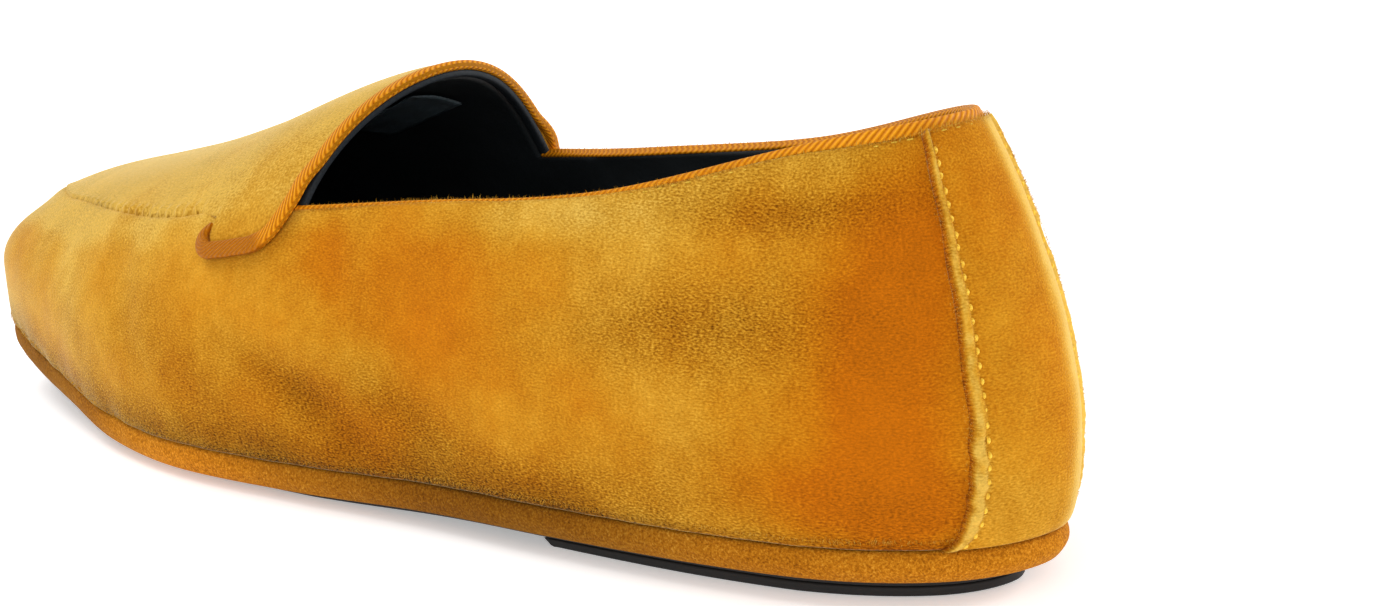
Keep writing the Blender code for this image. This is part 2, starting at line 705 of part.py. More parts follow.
def build():
    clear_scene()
    velvet, twill, suede, rubber, lining = (paint(name) for name in FINISHES)
    stand([
        outsole(rubber),
        heel_lift(rubber),
        midsole(suede),
        insole(lining),
        upper(velvet),
        apron(velvet),
        backstay(velvet),
        collar_binding(twill),
        throat_binding(twill),
    ])
    bpy.context.view_layer.update()


build()
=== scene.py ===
"""Looks of a velvet slip-on loafer for the left foot.

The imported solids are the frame. Each visible piece is made again here, finely, on the surface of
the same last, in metres. +X runs to the toe, +Y to the wearer's left, which is the outer side,
and +Z up, with the floor at Z = 0.
"""

import bmesh
import bpy
import numpy as np
from mathutils import Matrix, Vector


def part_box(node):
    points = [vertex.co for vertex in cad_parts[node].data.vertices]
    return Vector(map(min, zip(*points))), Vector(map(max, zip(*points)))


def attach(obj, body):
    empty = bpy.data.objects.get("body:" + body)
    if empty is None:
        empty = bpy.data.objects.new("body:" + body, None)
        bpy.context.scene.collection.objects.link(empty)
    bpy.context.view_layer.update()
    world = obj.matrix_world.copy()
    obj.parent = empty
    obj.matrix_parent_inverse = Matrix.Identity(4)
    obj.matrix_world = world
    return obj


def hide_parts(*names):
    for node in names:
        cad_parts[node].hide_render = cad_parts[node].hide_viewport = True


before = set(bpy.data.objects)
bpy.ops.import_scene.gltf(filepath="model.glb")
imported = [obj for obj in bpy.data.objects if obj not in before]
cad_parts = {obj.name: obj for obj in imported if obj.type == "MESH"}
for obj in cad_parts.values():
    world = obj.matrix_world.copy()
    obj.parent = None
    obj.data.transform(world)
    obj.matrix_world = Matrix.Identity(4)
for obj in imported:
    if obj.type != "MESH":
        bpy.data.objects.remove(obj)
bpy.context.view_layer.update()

# The last and the opening, as in the solids
LENGTH = 0.258
BALL_WIDTH = 0.082
TOE_SPRING = 0.0083
INSTEP_HEIGHT = 0.0705
BACK_HEIGHT = 0.0765
THROAT_PLACE = 0.132
THROAT_LEAN = 0.0055
THROAT_REACH = 0.065
HEEL_PIVOT = 0.031
TOE_PIVOT = 0.222

# Thicknesses and edges, as in the solids
CLEARANCE = 0.0003
WALL = 0.0018
BAND_HEIGHT = 0.0057
BAND_OVERHANG = 0.0012
BAND_TUCK = 0.0016
BAND_HEEL_SHARE = 0.3
OUTSOLE_THICKNESS = 0.0018
OUTSOLE_INSET = 0.0055
TREAD_FLAT = 0.0003
LIFT_THICKNESS = 0.0016
LIFT_LENGTH = 0.081
LIFT_INSET = 0.0065
LIFT_BEVEL = 0.0025
INSOLE_THICKNESS = 0.0025
APRON_THICKNESS = 0.0008
TAB_REACH = 0.0234
TAB_DROP = 0.0109
BACKSTAY_THICKNESS = 0.0007
BACKSTAY_FOLD = 0.0005
BACKSTAY_FOLD_WIDTH = 0.0028
BACKSTAY_HALF_WIDTH = 0.0168
BINDING_WIDTH = 0.0025
BINDING_LAP = 0.0002
TAB_BINDING_THICKNESS = 0.0017
SOLID_STATIONS = 30

# Fineness of the pieces here
QUARTER_STATIONS = 100
VAMP_STATIONS = 150
TUCK_ROWS = 12
SIDE_ROWS = 34
VAMP_ROWS = 60
SOLE_STATIONS = 220
COLLAR_STATIONS = 400
TAB_STATIONS = 120
ARCH_STATIONS = 90
APRON_TAB_STATIONS = 90
APRON_SEAM_STATIONS = 260
BRIDGE_STATIONS = 12
BACKSTAY_ROWS = 90
BACKSTAY_COLUMNS = 97
BAND_ROWS = 26
LIFT_FRONT_STEPS = 40
LABEL_ROWS = 16
LABEL_COLUMNS = 24
RIB_STEPS = 3
BINDING_SIDES = 18
THREAD_SIDES = 6
THREAD_STEPS = 7
COLUMN_STEP = 0.00003

# Steps for slopes on the surface: share of the half girth, degrees, and share of the length
GIRTH_STEP = 0.001
ANGLE_STEP = 0.5
RIDGE_STEP = 0.01

# Cloth details
RIB_PITCH = 0.00125
COLLAR_RIB_SLANT = -1.1
THROAT_RIB_SLANT = -1.7
THROAT_TWILL_THICKNESS = 0.0018
TAB_LEG = 0.0036
TAB_LEG_BARE = 0.0052
BINDING_SQUARENESS = 0.62
LINING_EDGE_THICKNESS = 0.0013
LINING_SEAM_PLACE = 0.121
LINING_SEAM_SLANT = 0.25
LINING_SEAM_WIDTH = 0.0008
LINING_SEAM_DEPTH = 0.0004
LINING_SLACK = 0.0002
SHEET_GAP = 0.0001
OUTSOLE_ROUND = 0.0009
INSOLE_ROUND = 0.0012
INSOLE_DISH = 0.18
WEAVE_ROW = 0.00029
WEAVE_DASH = 0.00060

# Moccasin seam: the vamp's swell below and above it, and the plug's puckers with slanted strokes of painted
# shade in them
SEAM_SWELL = 0.00085
SWELL_BELOW = 0.0034
SWELL_ABOVE = 0.0010
SWELL_START = 0.008
SEAM_PUCKER = 0.0033
PUCKER_PLACE = 0.05
PUCKER_SHARE = 0.03
PUFF_HEIGHT = 0.00012
PUCKER_HEIGHT = 0.00030
STROKE_SLANT = 0.9
STROKE_LENGTH = 0.0012
PUCKER_SHADE_DARKNESS = 0.50

# Heel strip: its folded edges and the sewn groove beside them
INNER_FOLD = 0.65
STRIP_CROWDING = 0.8
STRIP_WOBBLE = 0.00018
STRIP_EDGE = 0.0007
GROOVE_WIDTH = 0.00045
GROOVE_DEPTH = 0.00035

# Stitches: pitch, thread's length as a share of the pitch, radius and rise
BACKSTAY_STITCH = 0.0022
BACKSTAY_THREAD = 0.60
BACKSTAY_THREAD_RADIUS = 0.00034
BACKSTAY_THREAD_RISE = {"outer": 0.00062, "inner": 0.00040}
COLLAR_STITCH = 0.0026
COLLAR_THREAD = 0.45
COLLAR_THREAD_RADIUS = 0.00015
COLLAR_THREAD_RISE = 0.00008
COLLAR_STITCHED = 0.062
STITCH_DRIFT = 0.06
STITCH_SEED = 71

# Loose fibres: length, width, and how many to a metre of edge
FIBRE_LENGTH = 0.0008
SHORT_FIBRE_LENGTH = FIBRE_LENGTH * 0.7
FIBRE_WIDTH = 0.00009
FIBRE_SPREAD = 0.0005
EDGE_FIBRES = 16000
FOOT_FIBRES = 9000

# Bare patch under the vamp: angles up the section, and places past the throat
LABEL_ANGLES = (66.0, 85.0)
LABEL_PLACES = (0.0130, 0.0380)
LABEL_SKEW = 0.0030
LABEL_DEPTH = 0.0009
LABEL_THICKNESS = 0.0003

# Camera, found together with the shoe's proportions
CAMERA_AZIMUTH = 42.885
CAMERA_ELEVATION = 13.297
CAMERA_ROLL = -2.566
CAMERA_DISTANCE = 0.518994
CAMERA_TARGET = (0.091038, -0.021474, 0.029584)
FOCAL_PIXELS = 2912.1
PHOTO_WIDTH = 1400
SENSOR_WIDTH = 36.0

# Studio
FLOOR_REACH = 3.0
WORLD_STRENGTH = 0.62
LAMPS = (
    # name, metres aside, over and towards the camera, size, power
    ("key", -1.10, 1.90, -0.30, 1.2, 25.0),
    ("fill", 0.20, 1.00, 2.20, 1.6, 17.5),
    ("edge", 1.80, 0.90, -0.70, 0.8, 22.0),
)

# Unevenness of each piece, as ripples of a depth, a size in metres and a seed
SIDE_WAVES = ((0.00022, 0.040, 3), (0.00008, 0.012, 4))
FOOT_WAVES = ((0.00020, 0.009, 5),)
APRON_WAVES = ((0.00018, 0.030, 6),)
GOLD_WAVES = ((0.12, 0.045, 11), (0.06, 0.016, 12))
LIGHT_WAVES = ((0.05, 0.022, 13),)
LINING_WAVES = ((1.0, 0.020, 21),)
FOLD_WAVES = ((0.22, 0.0040, 31), (0.30, 0.0016, 36))
STRIP_WAVES = ((0.00012, 0.014, 32),)
STRIP_EDGE_WAVES = ((1.0, 0.005, 37),)
STRIP_GOLD_WAVES = ((0.08, 0.020, 33),)
FOLD_GOLD_WAVES = ((0.20, 0.0022, 34),)
STRIP_LIGHT_WAVES = ((0.03, 0.016, 35),)
FOLD_LIGHT_WAVES = ((0.12, 0.0022, 38),)
BAND_WAVES = ((0.00012, 0.006, 41),)
COLLAR_LIGHT_WAVES = ((0.06, 0.015, 45),)
LABEL_WAVES = ((0.00015, 0.006, 51),)

# Tone of the heel strip's parts, with painted light: painted sheen makes the side turned away paler, painted
# shade darkens the sewn groove, and a painted shadow line darkens the strip's edge
STRIP_GOLD = {"cloth": 0.42, "fold": 0.40, "foot": 0.28, "far": 0.60}
STRIP_PAINTED_LIGHT = {"fold": 0.07, "groove": -0.12, "far": 0.20, "edge": -0.42}

# Feather line: half widths to the outer and inner side, as shares of BALL_WIDTH
OUTLINE = np.array([
    # along, outer, inner
    (0.00, 0.000, 0.000),
    (0.03, 0.212, 0.160),
    (0.09, 0.332, 0.303),
    (0.17, 0.396, 0.366),
    (0.30, 0.440, 0.371),
    (0.42, 0.454, 0.350),
    (0.54, 0.491, 0.408),
    (0.64, 0.506, 0.481),
    (0.73, 0.468, 0.530),
    (0.82, 0.384, 0.518),
    (0.90, 0.299, 0.445),
    (0.96, 0.206, 0.323),
    (1.00, -0.076, 0.076),
])

# Height of the feather line over the ball: shares of the heel's rise and of TOE_SPRING
FEATHER = np.array([
    # along, heel, toe
    (0.00, 1.00, 0.00),
    (0.24, 1.00, 0.00),
    (0.36, 0.80, 0.00),
    (0.50, 0.20, 0.00),
    (0.60, 0.00, 0.00),
    (0.68, 0.00, 0.01),
    (0.74, 0.00, 0.12),
    (0.80, 0.00, 0.36),
    (0.90, 0.00, 0.70),
    (1.00, 0.00, 1.00),
])

# Sections of the last: ridge height over the floor and height of the widest line over the
# feather line, as shares of INSTEP_HEIGHT, bulge past the feather line and sideways place of
# the ridge, as shares of BALL_WIDTH, and the power that squares the section
SECTIONS = np.array([
    # along, ridge, widest, bulge, middle, power
    (0.00, 1.268, 0.224, 0.027, 0.000, 1.31),
    (0.15, 1.240, 0.210, 0.032, 0.000, 1.12),
    (0.30, 1.155, 0.196, 0.032, 0.014, 1.02),
    (0.42, 1.055, 0.186, 0.031, 0.030, 0.98),
    (0.52, 1.012, 0.176, 0.030, 0.010, 0.95),
    (0.65, 0.851, 0.165, 0.027, -0.040, 0.93),
    (0.75, 0.747, 0.159, 0.022, -0.061, 0.90),
    (0.85, 0.660, 0.159, 0.016, -0.079, 0.84),
    (0.93, 0.598, 0.159, 0.012, -0.079, 0.84),
    (1.00, 0.502, 0.155, 0.012, -0.079, 0.88),
])

# Top of the collar's binding, as shares of BACK_HEIGHT
COLLAR = np.array([
    # along, height
    (0.00, 1.000),
    (0.10, 0.935),
    (0.25, 0.804),
    (0.40, 0.738),
    (0.52, 0.690),
    (0.62, 0.655),
])

# How far the collar's binding reaches down outside: the pile hides most of it towards the throat
COLLAR_REACH = np.array([
    # along, share of BINDING_WIDTH
    (0.00, 0.96),
    (0.08, 0.94),
    (0.13, 0.72),
    (0.20, 0.50),
    (0.60, 0.46),
])

# Tab at each side of the apron, from the corner of the throat
TAB = np.array([
    # reach as a share of TAB_REACH, drop as a share of TAB_DROP
    (0.00, 0.00),
    (0.07, 0.25),
    (0.16, 0.54),
    (0.31, 0.76),
    (0.53, 0.88),
    (0.74, 0.97),
    (0.92, 1.00),
    (1.00, 0.86),
    (1.01, 0.60),
    (0.99, 0.36),
])

# Seam of the apron: share of the half girth, angle up the section
APRON_SEAM = np.array([
    # girth, angle
    (0.572, 39.6),
    (0.610, 40.2),
    (0.645, 42.4),
    (0.688, 45.2),
    (0.735, 49.0),
    (0.790, 52.8),
    (0.860, 56.8),
    (0.930, 58.7),
    (1.000, 59.5),
])

# Edge of the heel strip, from the feather line up to the collar
BACKSTAY_EDGE = np.array([
    # rise, spread as a share of BACKSTAY_HALF_WIDTH
    (0.00, 1.16),
    (0.20, 1.03),
    (0.45, 0.95),
    (0.75, 0.94),
    (1.00, 0.98),
])

# Side of the wrapped band
BAND_SIDE = np.array([
    # step, inset as a share of BAND_TUCK, share of the height, share of the overhang
    (0.0, 1.00, 0.00, 0.2),
    (1.0, 0.50, 0.10, 0.5),
    (2.0, 0.00, 0.40, 1.0),
    (3.0, 0.00, 0.68, 1.0),
    (4.0, 0.30, 0.93, 0.6),
    (5.0, 1.60, 1.00, 0.0),
])

# Painted light and shade on the band's suede, along the shoe: lighter at the heel and under the ball, darker
# under the waist and towards the toe
BAND_PAINTED_LIGHT = np.array([
    # along, light
    (0.00, 0.20),
    (0.05, 0.10),
    (0.14, -0.06),
    (0.22, -0.36),
    (0.33, -0.52),
    (0.47, -0.24),
    (0.54, 0.00),
    (0.61, 0.36),
    (0.72, 0.06),
    (0.82, -0.34),
    (1.00, -0.22),
])

# How the pile's tone steps up or down the section and along the shoe, with painted light: the gold column
# pales the upper sides, the forepart, the part by the throat and a little near the feather line, partly the
# pile's own tone and partly painted sheen; the light column is painted shade low on the sides, deepest in
# front of the waist and in a line along the feather edge
NAP_AND_PAINTED_LIGHT_STEPS = (
    # way of the angle, its start and span, start and span along the shoe, gold, light
    (1, 25.0, 50.0, -1.0, 1.0, 0.34, 0.0),
    (1, -100.0, 1.0, 0.60, 0.35, 0.30, 0.0),
    (1, 28.0, 12.0, 0.44, 0.08, 0.26, 0.0),
    (-1, 42.0, 25.0, -1.0, 1.0, 0.12, 0.0),
    (-1, 6.0, 50.0, -1.0, 1.0, 0.0, -0.105),
    (-1, 6.0, 50.0, 0.12, 0.16, 0.0, -0.315),
    (-1, 56.0, 14.0, -1.0, 1.0, 0.0, -0.24),
)

# Soft creases of the sides, in the shoe's own sizes: outer side first
CREASES = np.array([
    # side, x, z, lean in degrees, half length, half width, depth
    (1, 0.028, 0.0608, -8, 0.0120, 0.0030, -0.0008),
    (1, 0.026, 0.0665, -14, 0.0150, 0.0030, 0.0004),
    (1, 0.034, 0.0440, -4, 0.0160, 0.0065, -0.0008),
    (1, 0.058, 0.0400, -12, 0.0150, 0.0060, -0.0007),
    (1, 0.046, 0.0290, 18, 0.0220, 0.0065, 0.0006),
    (1, 0.127, 0.0215, 22, 0.0150, 0.0042, -0.0012),
    (1, 0.118, 0.0290, 24, 0.0170, 0.0045, 0.0007),
    (1, 0.104, 0.0225, 14, 0.0130, 0.0045, -0.0006),
    (1, 0.122, 0.0450, 70, 0.0070, 0.0040, -0.0005),
    (1, 0.178, 0.0320, 55, 0.0110, 0.0050, -0.0006),
    (1, 0.012, 0.0340, 88, 0.0200, 0.0060, -0.0003),
    (-1, 0.062, 0.0380, -10, 0.0200, 0.0060, -0.0009),
    (-1, 0.085, 0.0240, 12, 0.0180, 0.0060, 0.0007),
    (-1, 0.132, 0.0210, 24, 0.0150, 0.0045, -0.0011),
    (-1, 0.148, 0.0300, 40, 0.0140, 0.0050, -0.0007),
    (-1, 0.186, 0.0300, 60, 0.0110, 0.0050, -0.0006),
    (-1, 0.030, 0.0560, -10, 0.0140, 0.0040, -0.0006),
])

# How the pile lies, in the shoe's own sizes: paler gold or deeper orange, and lighter or darker, where the
# lighter or darker is mostly painted shade in the creases and painted light on the ridges beside them
NAP_AND_PAINTED_LIGHT_PATCHES = np.array([
    # side, x, z, lean in degrees, half length, half width, gold, light
    (1, 0.028, 0.0605, -8, 0.0130, 0.0034, -0.05, -0.30),
    (1, 0.041, 0.0605, -8, 0.0065, 0.0036, 0.00, -0.16),
    (1, 0.045, 0.0640, -12, 0.0260, 0.0040, 0.18, -0.14),
    (1, 0.066, 0.0640, -8, 0.0130, 0.0040, 0.10, 0.14),
    (1, 0.035, 0.0430, -6, 0.0190, 0.0080, 0.00, -0.28),
    (1, 0.059, 0.0400, -10, 0.0150, 0.0055, 0.00, -0.13),
    (1, 0.052, 0.0490, 8, 0.0150, 0.0070, 0.14, -0.04),
    (1, 0.013, 0.0400, 88, 0.0330, 0.0080, -0.75, 0.00),
    (1, 0.058, 0.0350, 14, 0.0260, 0.0060, 0.16, 0.04),
    (1, 0.022, 0.0200, 4, 0.0200, 0.0060, -0.35, -0.08),
    (1, 0.048, 0.0190, 4, 0.0200, 0.0060, 0.05, -0.05),
    (1, 0.094, 0.0400, 30, 0.0200, 0.0120, -0.26, 0.02),
    (1, 0.072, 0.0570, -4, 0.0280, 0.0042, 0.30, 0.02),
    (1, 0.084, 0.0270, 24, 0.0170, 0.0060, 0.10, 0.06),
    (1, 0.127, 0.0215, 22, 0.0170, 0.0046, 0.00, -0.40),
    (1, 0.102, 0.0210, 14, 0.0150, 0.0055, 0.08, -0.30),
    (1, 0.115, 0.0290, 22, 0.0150, 0.0050, 0.15, 0.04),
    (1, 0.122, 0.0440, 75, 0.0080, 0.0050, -0.35, -0.04),
    (1, 0.150, 0.0370, 20, 0.0120, 0.0070, 0.08, 0.14),
    (1, 0.152, 0.0190, 20, 0.0160, 0.0070, 0.00, -0.24),
    (1, 0.172, 0.0330, 60, 0.0120, 0.0070, 0.00, -0.06),
    (1, 0.194, 0.0200, 40, 0.0120, 0.0050, 0.00, -0.12),
    (1, 0.203, 0.0320, 60, 0.0170, 0.0110, 0.30, 0.02),
    (-1, 0.016, 0.0430, 86, 0.0280, 0.0080, -0.60, 0.00),
    (-1, 0.040, 0.0560, -10, 0.0150, 0.0040, 0.00, -0.24),
    (-1, 0.064, 0.0400, -8, 0.0230, 0.0080, 0.00, -0.18),
    (-1, 0.090, 0.0300, 14, 0.0220, 0.0080, 0.22, 0.05),
    (-1, 0.104, 0.0430, 20, 0.0180, 0.0100, -0.50, 0.00),
    (-1, 0.132, 0.0230, 22, 0.0180, 0.0050, 0.00, -0.32),
    (-1, 0.150, 0.0350, 30, 0.0200, 0.0090, 0.15, 0.04),
    (-1, 0.190, 0.0280, 40, 0.0170, 0.0080, 0.00, -0.14),
])

# Colours along each paint's ramp
VELVET_TONES = (
    # place, red, green, blue
    (0.00, 0.450, 0.118, 0.0020),
    (0.30, 0.480, 0.158, 0.0036),
    (0.55, 0.500, 0.212, 0.0100),
    (0.78, 0.535, 0.272, 0.0240),
    (1.00, 0.580, 0.350, 0.0580),
)
TWILL_TONES = (
    (0.00, 0.300, 0.070, 0.0010),
    (0.40, 0.620, 0.200, 0.0026),
    (1.00, 0.860, 0.370, 0.0160),
)
SUEDE_TONES = (
    (0.10, 0.190, 0.055, 0.0016),
    (0.45, 0.390, 0.130, 0.0042),
    (0.72, 0.540, 0.215, 0.0130),
    (1.00, 0.740, 0.360, 0.0460),
)
EDGE_TONES = ((0.30, 0.005, 0.008, 0.011), (0.75, 0.016, 0.022, 0.028))
RUBBER_TONES = ((0.30, 0.0050, 0.0046, 0.0043), (0.80, 0.0130, 0.0120, 0.0112))
LEATHER_TONES = ((0.30, 0.0070, 0.0095, 0.0110), (0.75, 0.0120, 0.0165, 0.0190))
SATIN_TONES = ((0.30, 0.060, 0.084, 0.096), (0.75, 0.125, 0.160, 0.185))
THREAD_TONES = ((0.30, 0.720, 0.400, 0.020), (0.70, 0.940, 0.640, 0.075))
FLOOR_TONES = ((0.20, 0.90, 0.90, 0.90), (0.80, 0.93, 0.93, 0.93))

BALL_SEAT = OUTSOLE_THICKNESS - TREAD_FLAT + CLEARANCE + BAND_HEIGHT
HEEL_RISE = TREAD_FLAT + LIFT_THICKNESS + CLEARANCE
BINDING_SEAT = BINDING_WIDTH + CLEARANCE
INSOLE_INSET = WALL + 2 * CLEARANCE


def smooth(table, column, at):
    """A table's column at the given places, on a smooth curve through its rows."""
    place, value = table[:, 0], table[:, column]
    step = np.diff(place)
    slope = np.diff(value) / step
    rate = np.empty_like(value)
    rate[1:-1] = (slope[:-1] * step[1:] + slope[1:] * step[:-1]) / (step[:-1] + step[1:])
    rate[0] = 1.5 * slope[0] - 0.5 * rate[1]
    rate[-1] = 1.5 * slope[-1] - 0.5 * rate[-2]
    at = np.clip(at, place[0], place[-1])
    k = np.clip(np.searchsorted(place, at, side="right") - 1, 0, len(step) - 1)
    u = (at - place[k]) / step[k]
    start = (1 + 2 * u) * (1 - u) ** 2 * value[k] + u * (1 - u) ** 2 * step[k] * rate[k]
    end = u * u * (3 - 2 * u) * value[k + 1] + u * u * (u - 1) * step[k] * rate[k + 1]
    return start + end


def ease(value):
    """0 below 0, 1 above 1, and a soft step between."""
    value = np.clip(value, 0.0, 1.0)
    return value * value * (3 - 2 * value)


def step_up(value, start, span):
    """0 up to the start, 1 from a span past it on, and a soft step between."""
    return ease((value - start) / span)


def bell(distance, width, power=2):
    """1 at no distance, fading out over a width."""
    return np.exp(-(distance / width) ** power)


def unit(vectors):
    """The vectors, each made one long."""
    return vectors / np.linalg.norm(vectors, axis=-1)[..., None]


def closed_line(half):
    """Stations all round the shoe: those of the outer half, and back along the inner half."""
    return np.concatenate([half, -half[-2:0:-1]])


def girth_of(x):
    """Share of the half girth, 0 at the heel and 1 at the toe, at a place along the shoe."""
    return np.arccos(np.clip(1 - 2 * x / LENGTH, -1, 1)) / np.pi


OUTLINE_BY_GIRTH = np.column_stack([girth_of(OUTLINE[:, 0] * LENGTH), OUTLINE[:, 1:]])


def feather_line(t):
    """Plan of the feather line: t runs from 0 at the heel to 1 (outer) or -1 (inner) at the toe."""
    girth = np.abs(t)
    x = LENGTH * (1 - np.cos(np.pi * girth)) / 2
    outer = smooth(OUTLINE_BY_GIRTH, 1, girth) * BALL_WIDTH
    inner = smooth(OUTLINE_BY_GIRTH, 2, girth) * BALL_WIDTH
    return x, np.where(t > 0, outer, -inner)


def feather_height(x):
    """Height of the feather line over the floor."""
    along = x / LENGTH
    return BALL_SEAT + smooth(FEATHER, 1, along) * HEEL_RISE + smooth(FEATHER, 2, along) * TOE_SPRING


def spine(x):
    """The line under the ridge, which every section is drawn from; it ends in two pivots."""
    held = np.clip(x, HEEL_PIVOT, TOE_PIVOT)
    return held, smooth(SECTIONS, 4, held / LENGTH) * BALL_WIDTH


def spoke(t):
    """Hub, direction and length of the line from the spine to the feather line at t."""
    x, y = feather_line(t)
    hub_x, hub_y = spine(x)
    reach = np.hypot(x - hub_x, y - hub_y)
    return hub_x, hub_y, (x - hub_x) / reach, (y - hub_y) / reach, reach


def section_point(t, angle):
    """A point of the last: angle is -90 at the feather line, 0 at the widest line, 90 on the ridge."""
    x, _ = feather_line(t)
    hub_x, hub_y, way_x, way_y, reach = spoke(t)
    along = x / LENGTH
    widest = smooth(SECTIONS, 2, along) * INSTEP_HEIGHT
    bulge = smooth(SECTIONS, 3, along) * BALL_WIDTH
    power = smooth(SECTIONS, 5, along)
    turn = np.radians(angle)
    cosine, sine = np.abs(np.cos(turn)), np.abs(np.sin(turn))
    cosine = np.where(np.asarray(angle) >= 90.0, 0.0, cosine)
    above = np.asarray(angle) >= 0
    out = np.where(above, (reach + bulge) * cosine**power, reach + bulge * cosine)
    base = feather_height(x) + widest
    ridge = smooth(SECTIONS, 1, (hub_x + way_x * out) / LENGTH) * INSTEP_HEIGHT
    height = np.where(above, base + (ridge - base) * sine**power, base - widest * sine)
    return np.stack([hub_x + way_x * out, hub_y + way_y * out, height], -1)


def angle_at_height(t, height):
    """The angle at which the section at t reaches a height."""
    low, high = np.full_like(t, -80.0), np.full_like(t, 89.0)
    for _ in range(30):
        middle = (low + high) / 2
        under = section_point(t, middle)[..., 2] < height
        low, high = np.where(under, middle, low), np.where(under, high, middle)
    return low


def collar_height(x):
    """Height of the collar's top edge."""
    return smooth(COLLAR, 1, x / LENGTH) * BACK_HEIGHT


def collar_angle(t, drop):
    """The angle of a line that lies a drop under the collar's top edge, measured on the surface."""
    t = np.asarray(t, float)
    height = np.full_like(t, BACK_HEIGHT)
    for _ in range(12):
        angle = angle_at_height(t, height)
        point = section_point(t, angle)
        lower = section_point(t, angle - 2 * ANGLE_STEP)
        rise = (point - lower)[..., 2] / np.linalg.norm(point - lower, axis=-1)
        height = collar_height(point[..., 0]) - drop * rise
    return angle_at_height(t, height)


def collar_reach(t):
    """How far down the collar's binding shows at t."""
    x, _ = feather_line(t)
    return smooth(COLLAR_REACH, 1, x / LENGTH) * BINDING_WIDTH


CORNER_T = float(girth_of(THROAT_PLACE))
CORNER_ANGLE = float(collar_angle(np.array([CORNER_T]), 0.0)[0])


def surface(t, angle):
    """A point of the upper: the section's point, moved along so that the throat leans back."""
    t, angle = np.broadcast_arrays(np.asarray(t, float), np.asarray(angle, float))
    x, _ = feather_line(t)
    climb = np.clip((angle - CORNER_ANGLE) / (90.0 - CORNER_ANGLE), 0, 1)
    near = np.clip(1 - np.abs(x - THROAT_PLACE) / THROAT_REACH, 0, 1) ** 2
    shift = THROAT_LEAN * np.sin(climb * np.pi / 2) ** 1.8 * near
    return section_point(np.sign(t) * girth_of(x - shift), angle)


def outward(t, angle):
    """A rough outward way, level at the sides and upright near the ridge."""
    _, _, way_x, way_y, _ = spoke(t)
    rise = np.sin(np.radians(angle))
    level = np.cos(np.radians(angle))
    return np.stack([way_x * level, way_y * level, rise], -1)


def ridge_normal(t):
    """Upright normal on the ridge, tilted as the ridge slopes over the spine at t."""
    along = spine(feather_line(t)[0])[0] / LENGTH
    rise = smooth(SECTIONS, 1, along + RIDGE_STEP) - smooth(SECTIONS, 1, along - RIDGE_STEP)
    slope = rise * INSTEP_HEIGHT / (2 * RIDGE_STEP * LENGTH)
    return unit(np.stack([-slope, np.zeros_like(slope), np.ones_like(slope)], -1))


def normal(t, angle):
    """Outward normal of the upper; level below the widest line, upright on the ridge."""
    t, angle = np.broadcast_arrays(np.asarray(t, float), np.asarray(angle, float))
    step, tilt = 2 * GIRTH_STEP, 2 * ANGLE_STEP
    bend = np.clip(angle, 0.0, 88.0)
    inside = np.clip(t, step - 1, 1 - step)
    along = surface(inside + step, bend) - surface(inside - step, bend)
    up = surface(inside, bend + tilt) - surface(inside, bend - tilt)
    across = unit(np.cross(along, up))
    middle = across * np.sign(np.sum(across * outward(t, bend), -1))[..., None]
    share = step_up(angle, 80.0, 9.0)[..., None]
    return unit(middle * (1 - share) + ridge_normal(t) * share)


def offset(t, angle, distance):
    """A point at a distance out from the upper's surface."""
    return surface(t, angle) + normal(t, angle) * np.asarray(distance)[..., None]


def shift_chart(t, angle, aside):
    """Moves a path of (t, angle) sideways on the surface, to the right of its own direction."""
    point = surface(t, angle)
    right = np.cross(unit(np.gradient(point, axis=0)), normal(t, angle))
    by_t = (surface(t + GIRTH_STEP, angle) - surface(t - GIRTH_STEP, angle)) / (2 * GIRTH_STEP)
    by_angle = (surface(t, angle + ANGLE_STEP) - surface(t, angle - ANGLE_STEP)) / (2 * ANGLE_STEP)
    a, b, c = (np.sum(p * q, -1) for p, q in ((by_t, by_t), (by_t, by_angle), (by_angle, by_angle)))
    wish = right * np.asarray(aside).reshape(-1, 1)
    first, second = np.sum(by_t * wish, -1), np.sum(by_angle * wish, -1)
    area = a * c - b * b
    return t + (c * first - b * second) / area, angle + (a * second - b * first) / area


def run_along(points):
    """Distance along a row of points, from its first."""
    steps = np.linalg.norm(np.diff(points, axis=0), axis=-1)
    return np.concatenate([[0.0], np.cumsum(steps)])


def resample(t, angle, count):
    """The path again, with points evenly spaced along the surface."""
    run = run_along(surface(t, angle))
    at = np.linspace(0, run[-1], count)
    return smooth(np.column_stack([run, t]), 1, at), smooth(np.column_stack([run, angle]), 1, at)


def both_sides(t, *others):
    """A path of the outer side, run on over the same path of the inner side."""
    return [np.concatenate([t, -t[-2::-1]])] + [np.concatenate([row, row[-2::-1]]) for row in others]


def tab_outline():
    """The tab's outer edge on the outer side, from the corner of the throat to the seam."""
    x = THROAT_PLACE + TAB[:, 0] * TAB_REACH
    height = float(collar_height(THROAT_PLACE)) - TAB[:, 1] * TAB_DROP
    t = girth_of(x)
    return t, angle_at_height(t, height)


def seam_path(count):
    """Path of the moccasin seam on the outer side, up to the toe."""
    t = np.linspace(APRON_SEAM[0, 0], 1, count)
    return t, smooth(APRON_SEAM, 1, t)


def ripple(point, size, seed):
    """Smooth unevenness between -1 and 1, its waves about a size long."""
    draw = np.random.default_rng(seed)
    total = np.zeros(point.shape[:-1])
    for _ in range(7):
        way = draw.normal(size=3)
        way /= np.linalg.norm(way) * size * draw.uniform(0.7, 1.5)
        total += np.sin(2 * np.pi * point @ way + draw.uniform(0, 2 * np.pi))
    return total / 4.0


def waves(point, table):
    """Sum of a table's ripples."""
    return sum(depth * ripple(point, size, seed) for depth, size, seed in table)


